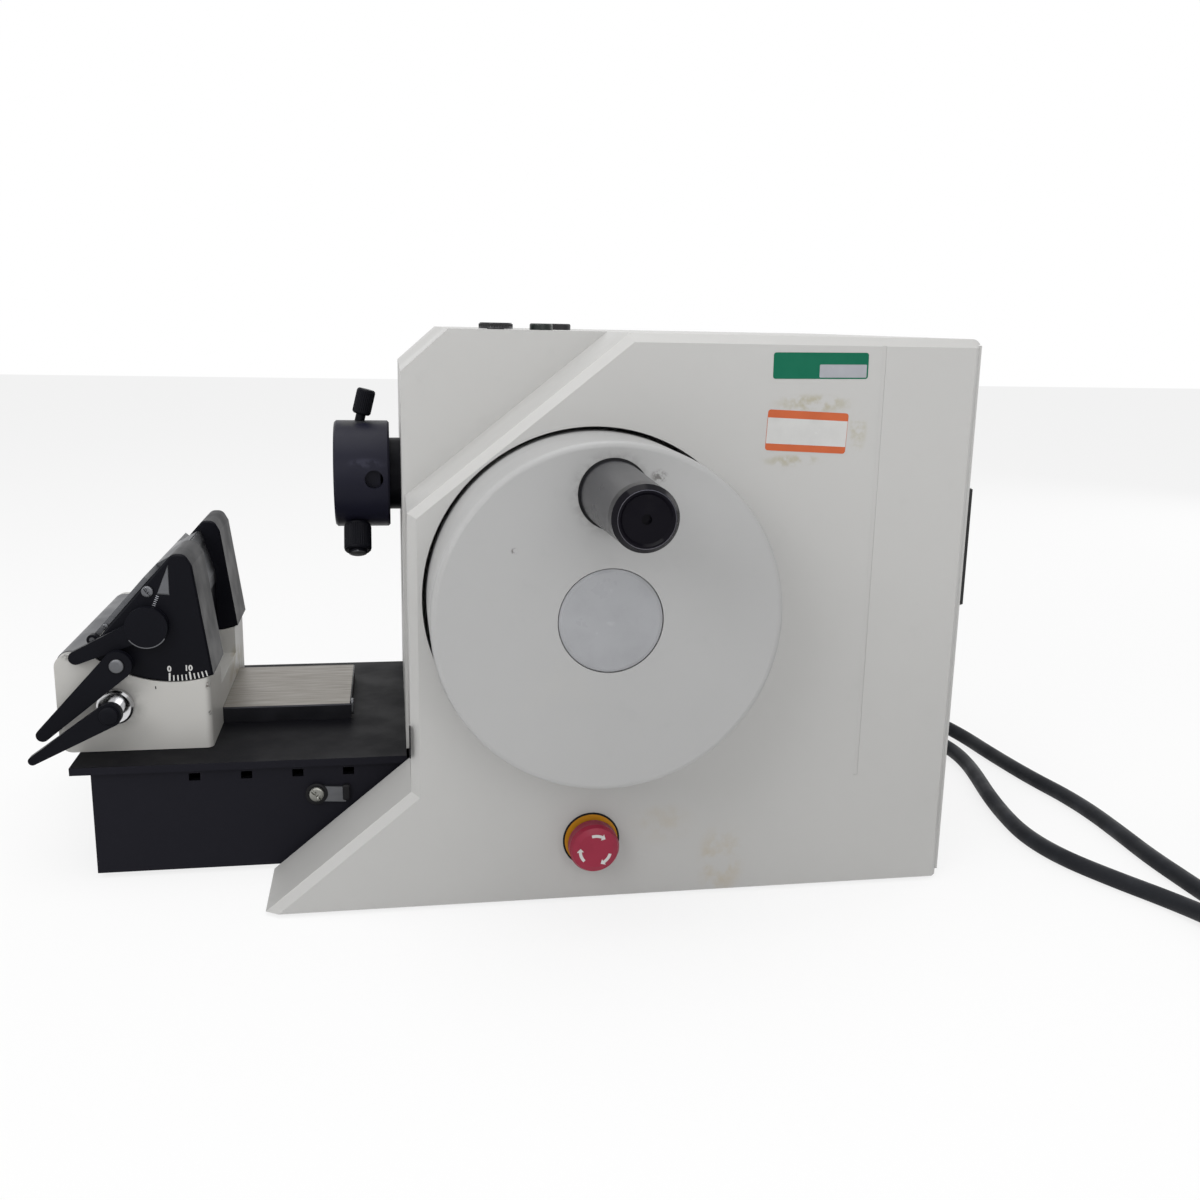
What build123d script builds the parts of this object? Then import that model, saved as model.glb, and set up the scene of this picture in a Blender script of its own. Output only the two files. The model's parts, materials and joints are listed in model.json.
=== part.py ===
from build123d import *
import os
from math import atan2, cos, hypot, pi, radians, sin, sqrt, tan

os.makedirs("parts", exist_ok=True)

# A motorised rotary microtome.  Millimetres.  +X runs from the knife towards the back of the
# machine, -Y faces the handwheel side, +Z is up and z = 0 is the bench.

# ---- casing -------------------------------------------------------------------------------
wall = 3.0                  # wall of both housing shells
front_x = -50.0             # front face of the main housing
back_x = 252.0              # outer face of the rear panel
top_z = 305.0               # top of the housing
skirt_z = 2.0               # lower edge of the shells above the bench
near_y = -97.0              # outer face of the handwheel pod
recess_y = -27.0            # near side of the main housing, behind the pod
far_y = 190.0               # far side of the main housing
nose_run = 26.0             # chamfer between the front and the top, along X
nose_drop = 23.0            # the same chamfer, along Z
pod_front_x = -48.4         # upright front edge of the pod
pod_toe_x = -125.6          # tip of the pod's toe beside the base
pod_toe_z = 65.8            # height at which the toe starts
pod_toe_depth = 57.0        # how far the toe reaches across, from the outer face
pod_slope_z = 214.4         # where the pod's front edge turns into its slope
pod_slope_x = 63.4          # where that slope meets the top
pod_bevel = 4.5             # bevel round the pod's outer face
housing_round = 5.0
seam_x = 196.7              # upright seam in the pod's outer face
seam_low_z = 66.0
seam_width = 2.4
seam_depth = 0.35
access_x = 0.0              # front end of the opening between pod and housing
access_margin = 12.0        # wall left behind that opening

# ---- chassis and base ---------------------------------------------------------------------
plate_low_z = 8.0           # underside of the chassis plate
plate_thick = 10.0
chassis_back_x = 231.0      # the plate stops short of the rear sockets
base_left_x = -222.0
base_near_y = -36.0
base_far_y = 158.0
base_wall = 5.0
base_skirt_z = 3.0
deck_top_z = 66.7           # top of the base, on which the knife holder slides
deck_thick = 4.3
deck_left_x = -232.3
deck_overhang = 3.2
slot_count = 4
slot_first_x = -167.2
slot_pitch = 28.1
slot_long = 6.2
slot_high = 4.4
slot_z = 57.9
foot_radius = 12.0
foot_inset = 22.0
foot_taper = 1.5

# ---- handwheel and drive ------------------------------------------------------------------
wheel_x = 46.6              # handwheel axis
wheel_z = 170.4
wheel_radius = 86.0
wheel_opening_gap = 2.3     # gap round the wheel in the pod's opening
wheel_proud = 52.0          # how far the wheel stands out of the pod
wheel_sunk = 15.0           # how far its rim reaches into the pod
wheel_rim = 7.0
wheel_face = 6.0
wheel_edge_round = 3.0
hub_cap_radius = 25.3
hub_cap_gap = 0.5
hub_cap_thick = 2.5
hub_cap_crown = 0.6         # rise of the cap's middle, and drop of its rim
hub_cap_bevel = 1.5
hub_radius = 24.0
shaft_radius = 9.0
shaft_run = 0.03            # running clearance of shafts in bearings
crank_throw = 32.0          # half of the specimen's vertical stroke
crank_disc_radius = 44.0
crank_disc_thick = 10.0
crank_disc_y = -8.0
crank_pin_radius = 6.0
crank_pin_fit = 0.05
crank_hole_radius = 8.0     # lightening holes opposite the pin
crank_holes = 3
crank_hole_first = 210.0    # degrees round from +X
crank_hole_step = 60.0
slide_block_side = 18.0
slide_block_thick = 9.0
slide_block_lift = 1.0      # between the crank disc and the slide block
yoke_gap = 1.0              # open clearance between slide block and yoke
grip_x = 46.6               # axis of the handwheel's grip
grip_z = 231.5
grip_pin_radius = 7.0
grip_root_radius = 16.0
grip_tip_radius = 14.4
grip_long = 64.8
grip_cap_long = 10.0
grip_cap_bevel = 1.9        # bevel of the cap, across; 3 along
grip_cap_slant = 3.0
grip_cap_rim = 1.3          # flat rim round the dish in the cap's end
grip_dish_deep = 1.2
grip_hole_radius = 2.2
grip_root_flange = 4.0
grip_stand = 1.2            # gap between the wheel's face and the grip
cheek_near_y = -76.0        # first cheek of the bearing pedestal
cheek_far_y = -28.0         # second cheek
cheek_thick = 14.0
cheek_width = 76.0
bearing_outer = 20.0
bearing_boss = 10.0         # wall round a bearing
pedestal_foot = 12.0
pulley_gap = 6.0            # between a cheek and the pulley
pulley_width = 22.0
driven_pulley_radius = 42.0
motor_pulley_radius = 14.0
belt_thick = 2.5
belt_width = 16.0
belt_gap = 0.3
pulley_flange = 3.0
motor_x = 160.0
motor_z = 72.0
motor_radius = 34.0
motor_long = 88.0
motor_tail = 14.0           # encoder housing behind the motor
motor_shaft_radius = 6.0
motor_plate_thick = 6.0
motor_shaft_long = 18.0

# ---- vertical slide and specimen feed -----------------------------------------------------
head_y = 67.4               # middle plane of knife and specimen
head_z = 215.2              # specimen axis at the top of its stroke
stroke = 2 * crank_throw
feed = 25.0                 # forward travel of the specimen arm
carriage_x = -30.0
carriage_long = 80.0
carriage_near = 26.0        # block from the specimen axis towards the handwheel
carriage_far = 22.0         # and towards the column
carriage_half_high = 36.0
rail_x = 10.0
rail_width = 20.0
rail_deep = 19.6
rail_car_width = 44.0
rail_car_deep = 20.0
rail_fit = 0.1
rail_low_z = 60.0
column_width = 60.0
column_thick = 20.0
column_head_gap = 4.0
column_rib_thick = 8.0
column_rib_high = 179.0
column_rib_gap = 6.0        # between the rib's foot and the housing's far wall
rail_foot_gap = 5.0         # between the car's back and the column
rail_head_deep = 6.0        # head of the rail in front of its side grooves
rail_groove_high = 6.0
rail_groove_deep = 3.0
yoke_thick = 10.0
yoke_half_long = 46.0
yoke_half_high = 17.0
yoke_slot_half_long = 41.5
yoke_slot_gap = 0.2
yoke_web = 4.0              # floor left behind the yoke's slot
carriage_chamfer = 4.0
arm_radius = 19.0
arm_fit = 0.05
arm_back_gap = 2.0          # the arm's end stands this far inside the carriage's back
collar_radius = 22.2
collar_x = -56.7            # front of the arm's collar
collar_long = 14.0
head_slot_gap = 1.0
shutter_thick = 1.5
shutter_gap = 2.0           # between the housing's front wall and the shutter
shutter_top_gap = 2.8       # between the shutter and the slope of the housing's nose
shutter_down = 88.0
shutter_half_wide = 29.0
shutter_post_inset = 6.0    # its posts from the carriage's top and bottom
shutter_post_near = 20.0    # and from the specimen axis, on either side
shutter_post_far = 11.0
spindle_radius = 5.0
spindle_fit = 0.05
spindle_front_x = -10.0
nut_radius = 12.0
nut_long = 10.0
coupling_radius = 9.0
coupling_long = 8.0
stepper_side = 42.0
stepper_long = 40.0
stepper_gap = 12.0
stepper_plate = 4.0
stepper_chamfer = 5.0
post_radius = 3.0

# ---- orienting head -----------------------------------------------------------------------
disc_front_x = -90.0
disc_back_x = -56.7
disc_radius = 32.8
disc_recess_radius = 26.0
disc_recess_deep = 5.6
disc_chamfer = 1.2
tilt_x = -70.0              # where both tilt axes cross
tilt_cavity_radius = 18.0
tilt_cavity_front_x = -79.5
ring_outer = 16.4
ring_inner = 12.2
ring_half = 4.0
tilt_pin_radius = 2.0
tilt_pin_fit = 0.04
tilt_pin_start = 4.0        # inner end of the upright pins, from the specimen axis
tilt_pin_deep = 5.0         # how far the level pins reach into the disc
neck_radius = 7.0
neck_ball = 9.5
neck_flat = 1.5
pocket_deep = 7.0
pocket_wide = 42.0
pocket_high = 40.0
jaw_thick = 5.0
fixed_jaw_high = 7.25
moving_jaw_high = 3.0
jaw_hook = 1.5
jaw_travel = 4.0
jaw_gap = 0.3
jaw_lip = 3.5
lock_x = -74.5              # foot of the grip that locks the orientation
lock_lean = 14.0
lock_grip_radius = 5.5
lock_grip_long = 15.6
lock_neck_radius = 3.0
lock_neck_long = 4.0
lock_neck_floor = 8.0       # metal left between its bore and the tilt cavity
knob_chamfer = 0.8
clamp_x = -76.7             # knob of the cassette clamp
clamp_swing = 30.0          # its axis leans this far from upright, towards the handwheel side
clamp_radius = 8.0
clamp_stand = 1.0
clamp_long = 17.6
clamp_end_radius = 5.4
clamp_end_long = 1.5
clamp_screw_slot = 1.4
clamp_stem_radius = 3.0
clamp_stem_floor = 5.0      # metal left between its bore and the tilt cavity
side_hole_x = -66.0
side_hole_radius = 5.5
side_hole_floor = 7.0       # metal left between it and the tilt cavity

# ---- knife holder -------------------------------------------------------------------------
edge_x = -178.0             # cutting edge; the clearance-angle segment tilts about it
edge_z = 174.0
segment_radius = 67.0
segment_fit = 0.3
ear_gap = 72.0              # between the two ears
near_ear = 45.0             # width of the near ear and cheek
far_ear = 46.0
ear_rise = 5.5              # the ears' tips above the cutting edge
ear_tip_round = 5.0
ear_chamfer = 1.0
ear_edge_top = (12.0, -0.5)     # specimen-side edge of the ears, from the cutting edge
ear_edge_low = (20.8, -66.0)
ear_tip_flat = 3.5          # narrow flat on the ears' tips
ear_foot_lean = 3.0
holder_corner = 4.0
table_angle = 48.5          # slope of the blade's seat above the bench
ear_offset = 3.0            # ears stand above the blade's seat by this
body_front = 8.0            # specimen-side face of the cross body from the cutting edge
table_drop = 27.0
table_low = 34.0
table_seat = 20.0
table_inner = (-4.0, -28.0)     # lower back corner of the blade's table, from the edge
blade_long = 80.0
blade_wide = 8.0
blade_thick = 0.25
blade_bevel = 1.2
blade_fit = 0.05
press_gap = 0.6
press_start = 1.5
press_step = 16.0
press_end = 61.0
press_thick = 2.8
press_overlap = 10.0        # where the tongue joins the wide plate
press_ramp = 4.0
press_lip = 0.5
press_lift = 0.4
press_side_y = 8.0          # how far the plate's wings stay inside the ears' outer faces
press_pin_radius = 1.5
knuckle_radius = 3.0
knuckle_wide = 5.0
holder_left_x = -242.5
holder_right_x = -159.5
holder_top_z = 124.0
holder_round = 7.0
bridge_z = 92.0
bridge_cut_x = -226.0
guide_near_y = 31.5         # steel guide rail on the base
guide_width = 89.5
guide_left_x = -225.0
guide_right_x = -83.0
guide_high = 9.8
guide_chamfer = 0.8
guide_fit = 0.1
slide_fit = 0.3

segment_lever_inset = 5.9   # lever that locks the clearance angle: its axis inside the arc
segment_lever_turn = 61.9   # and below level, in degrees about the cutting edge
segment_lever_reach = (-41.2, -38.6)    # from a lever's axis to its tip
segment_lever_ends = (8.0, 3.6)         # radii of a lever's root and tip
segment_lever_stand = 11.9              # a lever's outer face from the ears' near face
guide_lever_at = (31.6, 27.4)   # lever that locks the holder: from the holder's back and deck
guide_lever_reach = (-41.3, -24.6)
guide_lever_ends = (6.6, 2.4)
guide_lever_stand = 19.4
blade_lever_at = (-13.2, -34.0)     # lever that clamps the blade, from the cutting edge
blade_lever_reach = (-38.3, -16.5)
blade_lever_ends = (6.5, 3.8)
blade_lever_stand = 5.4
blade_lever_thick = 4.6
lever_thick = 5.0
lever_fit = 0.05
lever_stud_radius = 4.0
stud_deep = 18.0
eccentric_radius = 6.0
eccentric_end = 10.0        # how far the clamping shaft reaches into the far ear
boss_radius = 11.5
guide_boss_radius = 10.0
guide_boss_thick = 5.0
guide_boss_chamfer = 1.2
guide_neck_radius = 5.0
guide_neck_proud = 0.5

# ---- controls -----------------------------------------------------------------------------
stop_x = 47.7
stop_z = 35.6
stop_ring_radius = 14.5
stop_ring_proud = 0.5
stop_bore = 6.0
stop_head_radius = 13.45
stop_head_long = 11.0
stop_head_crown = (4.0, 1.2)    # flat end's inset, and the soft edge round it
stop_head_edge = 3.5
stop_head_back = 1.5
stop_gap = 1.0              # between the pressed head and its ring
stop_travel = 3.0
stop_stem_radius = 6.0
stop_fit = 0.05
stop_body_side = 30.0
stop_body_long = 17.0
knob_radius = 9.7
knob_x = 3.4
knob_y = -6.0
knob_taper = 0.8
button_round = 1.0
button_radius = 6.5
start_x = 29.0
start_y = -6.0
brake_x = 45.4
brake_y = 37.0
control_high = 3.6
control_deep = 9.0
tray_deep = 14.0
control_fit = 0.3
lock_tab_x = -100.8         # pivot of the small lock lever on the base
lock_tab_z = 45.6
lock_tab_long = 16.1
lock_tab_high = 9.0
lock_tab_thick = 2.0
lock_tab_drop = 1.0
lock_stud_end = 4.0
coarse_x = 140.0
coarse_z = 150.0
coarse_radius = 30.0
coarse_long = 34.0
coarse_stand = 1.0
coarse_shaft = 6.0
coarse_flutes = 12
coarse_flute_radius = 5.0
coarse_flute_stand = 3.0    # centre of a flute outside the rim
coarse_round = 3.0
coarse_dish = 4.0
coarse_shaft_deep = 12.0

# ---- electrics and rear -------------------------------------------------------------------
panel_gap = 0.3
rocker_pin_back = 2.0       # rocker's pin inside the rear panel's outer face
vent_low_z = 161.0
vent_high_z = 226.0
vent_proud = 2.5
vent_near_y = -91.0
vent_wide = 60.0
vent_bars = 6
vent_frame = 8.0            # plain rim beside the vent's slots
inlet_y = 168.0
inlet_z = 17.0
inlet_wide = 28.0
inlet_high = 20.0
control_y = 138.0
control_socket_radius = 10.0
rocker_y = 168.0
rocker_z = 48.0
rocker_half = 11.0
rocker_high = 7.0
rocker_gap = 0.6            # round the rocker in its frame
rocker_proud = 2.6
rocker_pin_radius = 1.2
inlet_deep = 14.0
inlet_hollow = 12.0
inlet_wall = 1.6
socket_deep = 10.0
socket_wall = 2.2
socket_hollow = 6.0
socket_proud = 1.5
frame_wall = 2.0
frame_proud = 1.2

# ---- leads --------------------------------------------------------------------------------
cord_diameter = 10.0
cord_z = cord_diameter / 2
coil_x = 448.0
coil_y = -205.0
coil_mid = 55.0             # radius of the middle of the turns
coil_deep = 20.0            # two turns side by side, and two layers high
mains_exit_x = 301.5
control_exit_x = 281.5
climb_from = 186.0          # where the control lead starts round the lower coil, degrees
climb_step = 33.0
climb_steps = 6
climb_reach = 74.5
climb_turn_in = 5.0
plug_half = 11.0            # half height of both plugs
mains_plug_half = 14.0
plug_long = 32.0
plug_round = 5.0
relief_long = 26.0
relief_radius = 9.0
prong_apart = 12.7
prong_thick = 1.6
prong_wide = 7.0
prong_drop = 2.5            # middle of the flat prongs below the plug's middle
prong_long = 17.0
earth_radius = 2.4
earth_rise = 6.5
earth_long = 20.0
control_nose_radius = 7.5
control_nose_long = 12.0
connector_fit = 0.6         # round the mains connector's nose in the inlet
connector_deep = 11.0
connector_half = (13.0, 9.0)    # half width and half height
connector_long = 26.0
connector_round = 4.0
connector_relief = 8.0
control_body_radius = 9.5
control_body_long = 14.0
control_body_stand = 1.8
control_relief = 7.5
tangent_share = 0.45        # share of the shorter run that an arc may take
mains_tail = [(508, -186, 15), (509.5, -172, 14), (513, -158, 12.5), (517, -145, 11.3),
              (519, -131, 11)]
control_tail = [(507, -194, 35), (505, -178, 33), (500, -160, 28), (494, -142, 21),
                (489, -125, 14), (488, -110, 11)]

# ---- derived values -----------------------------------------------------------------------
inner_x = back_x - wall
pod_inner_y = near_y + wall
main_inner_far = far_y - wall
plate_top_z = plate_low_z + plate_thick
opening_radius = wheel_radius + wheel_opening_gap
rocker_pin_x = back_x - rocker_pin_back
wheel_face_y = near_y - wheel_proud
wheel_back_y = near_y + wheel_sunk
pulley_y = cheek_near_y + cheek_thick + pulley_gap
yoke_y = crank_disc_y + crank_disc_thick + slide_block_lift + slide_block_thick + yoke_gap
carriage_back_x = carriage_x + carriage_long
car_near_y = head_y + carriage_far
rail_back_y = car_near_y + rail_car_deep + rail_foot_gap
ear_near_y = head_y - ear_gap / 2 - near_ear
ear_inner_near_y = head_y - ear_gap / 2
ear_inner_far_y = head_y + ear_gap / 2
ear_far_y = ear_inner_far_y + far_ear
segment_lever_x = edge_x - (segment_radius - segment_lever_inset) * cos(radians(segment_lever_turn))
segment_lever_z = edge_z - (segment_radius - segment_lever_inset) * sin(radians(segment_lever_turn))
guide_lever_x = holder_left_x + guide_lever_at[0]
guide_lever_z = deck_top_z + guide_lever_at[1]
blade_lever_x = edge_x + blade_lever_at[0]
blade_lever_z = edge_z + blade_lever_at[1]
along = (-cos(radians(table_angle)), -sin(radians(table_angle)))
across = (-sin(radians(table_angle)), cos(radians(table_angle)))


# ---- helpers ------------------------------------------------------------------------------
def side_plane(y):
    """Sketch plane seen from the handwheel side: local x is X, local y is Z."""
    return Plane(origin=(0, y, 0), x_dir=(1, 0, 0), z_dir=(0, -1, 0))


def front_plane(x):
    """Sketch plane across the machine: local x is Y, local y is Z, normal +X."""
    return Plane(origin=(x, 0, 0), x_dir=(0, 1, 0), z_dir=(1, 0, 0))


def outline(points):
    return make_face(Polyline(*points, close=True))


def across_y(sketch, y0, y1):
    """Carry a side view sketch from y0 to y1."""
    return extrude(side_plane(y0) * sketch, amount=y1 - y0, dir=(0, 1, 0))


def block(x0, x1, y0, y1, z0, z1):
    size = Box(x1 - x0, y1 - y0, z1 - z0)
    return Pos((x0 + x1) / 2, (y0 + y1) / 2, (z0 + z1) / 2) * size


def rod(radius, start, end, tip=None):
    """Cylinder, or cone with a tip radius, from start to end."""
    start, end = Vector(*start), Vector(*end)
    way = end - start
    low = (Align.CENTER, Align.CENTER, Align.MIN)
    if tip is None:
        solid = Cylinder(radius, way.length, align=low)
    else:
        solid = Cone(radius, tip, way.length, align=low)
    return Plane(origin=start, z_dir=way.normalized()) * solid


def rod_y(radius, x, z, y0, y1, tip=None):
    return rod(radius, (x, y0, z), (x, y1, z), tip)


def rod_x(radius, y, z, x0, x1, tip=None):
    return rod(radius, (x0, y, z), (x1, y, z), tip)


def rod_z(radius, x, y, z0, z1, tip=None):
    return rod(radius, (x, y, z0), (x, y, z1), tip)


def edge_point(s, n):
    """Point s down the blade's slope from the cutting edge and n above its seat."""
    return (edge_x + s * along[0] + n * across[0], edge_z + s * along[1] + n * across[1])


def keep(name, shape):
    export_step(Compound(children=list(shape.solids())), f"parts/{name}.step")


# ---- casing -------------------------------------------------------------------------------
def pod_outline():
    return outline([
        (pod_toe_x, skirt_z), (pod_front_x, pod_toe_z), (pod_front_x, pod_slope_z),
        (pod_slope_x, top_z), (back_x, top_z), (back_x, skirt_z),
    ])


def pod_inside():
    """Inner outline of the pod, open through the rear panel's side and the bottom."""
    slope = atan2(top_z - pod_slope_z, pod_slope_x - pod_front_x)
    toe = atan2(pod_toe_z - skirt_z, pod_front_x - pod_toe_x)
    toe_start_x = pod_toe_x + wall / sin(toe)
    inside_x = pod_front_x + wall
    toe_top = pod_toe_z + wall * tan(toe) - wall / cos(toe)
    slope_low = pod_slope_z + wall * tan(slope) - wall / cos(slope)
    top = top_z - wall
    slope_top_x = inside_x + (top - slope_low) / tan(slope)
    return outline([
        (toe_start_x, skirt_z - wall), (toe_start_x, skirt_z), (inside_x, toe_top),
        (inside_x, slope_low), (slope_top_x, top), (back_x + wall, top),
        (back_x + wall, skirt_z - wall),
    ])


def side_pod():
    body = across_y(pod_outline(), near_y, recess_y)
    upright = body.edges().filter_by(Axis.Y)
    body = fillet(upright.group_by(Axis.Z)[-1].sort_by(Axis.X)[-1], housing_round)
    rim = body.faces().sort_by(Axis.Y)[0].edges().filter_by(lambda e: e.center().Z > skirt_z + 1)
    rim = [e for e in rim if e.center().X < back_x - 1]
    body = chamfer(rim, pod_bevel)
    body -= across_y(pod_inside(), pod_inner_y, recess_y + wall)
    toe_end = near_y + pod_toe_depth
    body -= block(pod_toe_x - wall, pod_front_x, toe_end, recess_y + wall, 0, top_z)
    toe = outline([(pod_toe_x, skirt_z), (pod_front_x + wall, skirt_z),
                   (pod_front_x + wall, pod_toe_z), (pod_front_x, pod_toe_z)])
    body += across_y(toe, toe_end - wall, toe_end)
    body += block(pod_front_x, pod_front_x + wall, toe_end - wall, recess_y, skirt_z, pod_toe_z)
    body += rod_y(opening_radius + wall, wheel_x, wheel_z, near_y + wall, near_y + 4 * wall)
    body -= rod_y(opening_radius, wheel_x, wheel_z, near_y - wall, near_y + 5 * wall)
    body -= rod_y(stop_ring_radius, stop_x, stop_z, near_y - wall, near_y + 2 * wall)
    body -= block(seam_x - seam_width / 2, seam_x + seam_width / 2, near_y - wall,
                  near_y + seam_depth, seam_low_z, top_z + wall)
    return body


def housing_outline(inset):
    """Side view of the main housing, drawn in by inset on every side."""
    slope = atan2(nose_drop, nose_run)
    drop = inset / cos(slope) - inset * tan(slope)
    run = inset / sin(slope) - inset / tan(slope)
    x, top = front_x + inset, top_z - inset
    return outline([
        (x, skirt_z - inset), (x, top_z - nose_drop - drop), (front_x + nose_run + run, top),
        (back_x + inset, top), (back_x + inset, skirt_z - inset),
    ])


def main_housing():
    body = across_y(housing_outline(0), recess_y, far_y)
    far_edges = body.faces().sort_by(Axis.Y)[-1].edges()
    far_edges = [e for e in far_edges if e.center().Z > skirt_z + 1 and e.center().X < back_x - 1]
    body = fillet(far_edges, housing_round)
    body -= across_y(housing_outline(wall), recess_y + wall, main_inner_far)
    body -= block(access_x, inner_x - access_margin, recess_y - wall, recess_y + 2 * wall, 0,
                  pod_slope_z)
    body -= block(front_x + wall, inner_x, recess_y - wall, recess_y + wall, 0, plate_top_z)
    body -= block(inner_x, back_x + wall, recess_y - wall, recess_y + wall, 0, top_z - wall)
    body -= block(front_x - wall, front_x + wall, recess_y - wall, base_far_y + base_wall, 0,
                  deck_top_z)
    slot_half = collar_radius + head_slot_gap
    top_bore = rod_x(slot_half, head_y, head_z, front_x - wall, front_x + 2 * wall)
    low_bore = rod_x(slot_half, head_y, head_z - stroke, front_x - wall, front_x + 2 * wall)
    body -= top_bore + low_bore
    body -= block(front_x - wall, front_x + 2 * wall, head_y - slot_half, head_y + slot_half,
                  head_z - stroke, head_z)
    body += rod_y(coarse_shaft + 2 * wall, coarse_x, coarse_z, main_inner_far - 2 * wall, far_y)
    body -= rod_y(coarse_shaft + lever_fit, coarse_x, coarse_z, main_inner_far - 3 * wall,
                  far_y + wall)
    for x, y, radius in control_places():
        body -= rod_z(radius + control_fit, x, y, top_z - 2 * wall, top_z + wall)
    return body


def control_places():
    """Centre and bore radius of the knob and the two buttons in the top."""
    return [
        (knob_x, knob_y, knob_radius / 2), (start_x, start_y, button_radius),
        (brake_x, brake_y, button_radius),
    ]


def rear_panel():
    gap = panel_gap
    low = skirt_z + wall
    panel = block(inner_x, back_x, pod_inner_y + gap, main_inner_far - gap, low,
                  top_z - wall - gap)
    deep = 2 * wall
    panel -= block(inner_x - deep, back_x + deep, inlet_y - inlet_wide / 2,
                   inlet_y + inlet_wide / 2, inlet_z - inlet_high / 2, inlet_z + inlet_high / 2)
    panel -= block(inner_x - deep, back_x + deep, rocker_y - rocker_half, rocker_y + rocker_half,
                   rocker_z - rocker_high, rocker_z + rocker_high)
    panel -= rod_x(control_socket_radius, control_y, inlet_z, inner_x - deep, back_x + deep)
    panel += block(back_x, back_x + vent_proud, vent_near_y, vent_near_y + vent_wide, vent_low_z,
                   vent_high_z)
    step = (vent_high_z - vent_low_z) / vent_bars
    for i in range(vent_bars):
        z = vent_low_z + step * (i + 0.5)
        panel -= block(inner_x - deep, back_x + deep, vent_near_y + vent_frame,
                       vent_near_y + vent_wide - vent_frame, z - step / 4, z + step / 4)
    return panel


# ---- chassis and base ---------------------------------------------------------------------
def chassis():
    back = block(pod_front_x + wall, chassis_back_x, pod_inner_y, main_inner_far, plate_low_z,
                 plate_top_z)
    front = block(base_left_x + base_wall, pod_front_x + wall, recess_y, base_far_y - base_wall,
                  plate_low_z, plate_top_z)
    return back + front


def base_box():
    box = block(base_left_x, front_x, base_near_y, base_far_y, base_skirt_z,
                deck_top_z - deck_thick)
    box -= block(base_left_x + base_wall, front_x + base_wall, base_near_y + base_wall,
                 base_far_y - base_wall, 0, deck_top_z)
    for i in range(slot_count):
        x = slot_first_x + slot_pitch * i
        box -= block(x - slot_long / 2, x + slot_long / 2, base_near_y - 1,
                     base_near_y + base_wall + 1, slot_z - slot_high / 2, slot_z + slot_high / 2)
    box -= rod_y(lever_stud_radius + lever_fit, lock_tab_x, lock_tab_z, base_near_y - 1,
                 base_near_y + base_wall + 1)
    return box


def base_deck():
    return block(deck_left_x, front_x, base_near_y - deck_overhang, base_far_y + deck_overhang,
                 deck_top_z - deck_thick, deck_top_z)


def rubber_feet():
    places = [
        (base_left_x + foot_inset, base_near_y + foot_inset),
        (base_left_x + foot_inset, base_far_y - foot_inset),
        (front_x + foot_inset, near_y + foot_inset), (front_x + foot_inset, far_y - foot_inset),
        (chassis_back_x - foot_inset, near_y + foot_inset),
        (chassis_back_x - foot_inset, far_y - foot_inset),
    ]
    feet = [rod_z(foot_radius - foot_taper, x, y, 0, plate_low_z, foot_radius) for x, y in places]
    return Compound(children=feet)


def guide_rail():
    rail = block(guide_left_x, guide_right_x, guide_near_y, guide_near_y + guide_width, deck_top_z,
                 deck_top_z + guide_high)
    return chamfer(rail.edges().group_by(Axis.Z)[-1], guide_chamfer)


# ---- handwheel and drive ------------------------------------------------------------------
def turned(points, x, z):
    """Revolve (radius, y) points about the Y axis through x, z."""
    face = make_face(Plane.XY * Polyline(*[(r, y) for r, y in points], close=True))
    return Pos(x, 0, z) * revolve(face, Axis.Y)


def handwheel():
    f, b, r = wheel_face_y, wheel_back_y, wheel_radius
    cap = hub_cap_radius + hub_cap_gap
    body = turned([
        (shaft_radius, f + hub_cap_thick), (cap, f + hub_cap_thick), (cap, f),
        (r, f), (r, b), (r - wheel_rim, b), (r - wheel_rim, f + wheel_face),
        (hub_radius, f + wheel_face), (hub_radius, b), (shaft_radius, b),
    ], wheel_x, wheel_z)
    front = body.edges().filter_by(GeomType.CIRCLE).group_by(Axis.Y)[0]
    body = fillet(front.sort_by(SortBy.RADIUS)[-1], wheel_edge_round)
    return body - rod_y(grip_pin_radius, grip_x, grip_z, f - wheel_face, f + 2 * wheel_face)


def hub_cap():
    return turned([
        (0, wheel_face_y - hub_cap_crown), (hub_cap_radius - hub_cap_bevel, wheel_face_y),
        (hub_cap_radius, wheel_face_y + hub_cap_crown),
        (hub_cap_radius, wheel_face_y + hub_cap_thick), (0, wheel_face_y + hub_cap_thick),
    ], wheel_x, wheel_z)


def grip_pin():
    root = wheel_face_y + wheel_face
    tip = wheel_face_y - grip_stand - grip_long
    pin = rod_y(grip_pin_radius, grip_x, grip_z, tip, root)
    return pin + rod_y(grip_root_radius - 1, grip_x, grip_z, root, root + grip_root_flange)


def grip_sleeve():
    start = wheel_face_y - grip_stand
    end = start - grip_long
    body = rod(grip_root_radius, (grip_x, start, grip_z), (grip_x, end, grip_z), grip_tip_radius)
    return body - rod_y(grip_pin_radius + lever_fit, grip_x, grip_z, end - 1, start + 1)


def grip_cap():
    start = wheel_face_y - grip_stand - grip_long
    end = start - grip_cap_long
    r = grip_tip_radius
    rim = r - grip_cap_bevel - grip_cap_rim
    return turned([
        (0, start), (r, start), (r, end + grip_cap_slant), (r - grip_cap_bevel, end),
        (rim, end), (rim - 1, end + grip_dish_deep),
        (grip_hole_radius, end + grip_dish_deep / 2), (grip_hole_radius, end + grip_cap_slant),
        (0, end + grip_cap_slant),
    ], grip_x, grip_z)


def drive_shaft():
    return rod_y(shaft_radius, wheel_x, wheel_z, wheel_face_y + hub_cap_thick, crank_disc_y +
                 crank_disc_thick)


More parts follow.
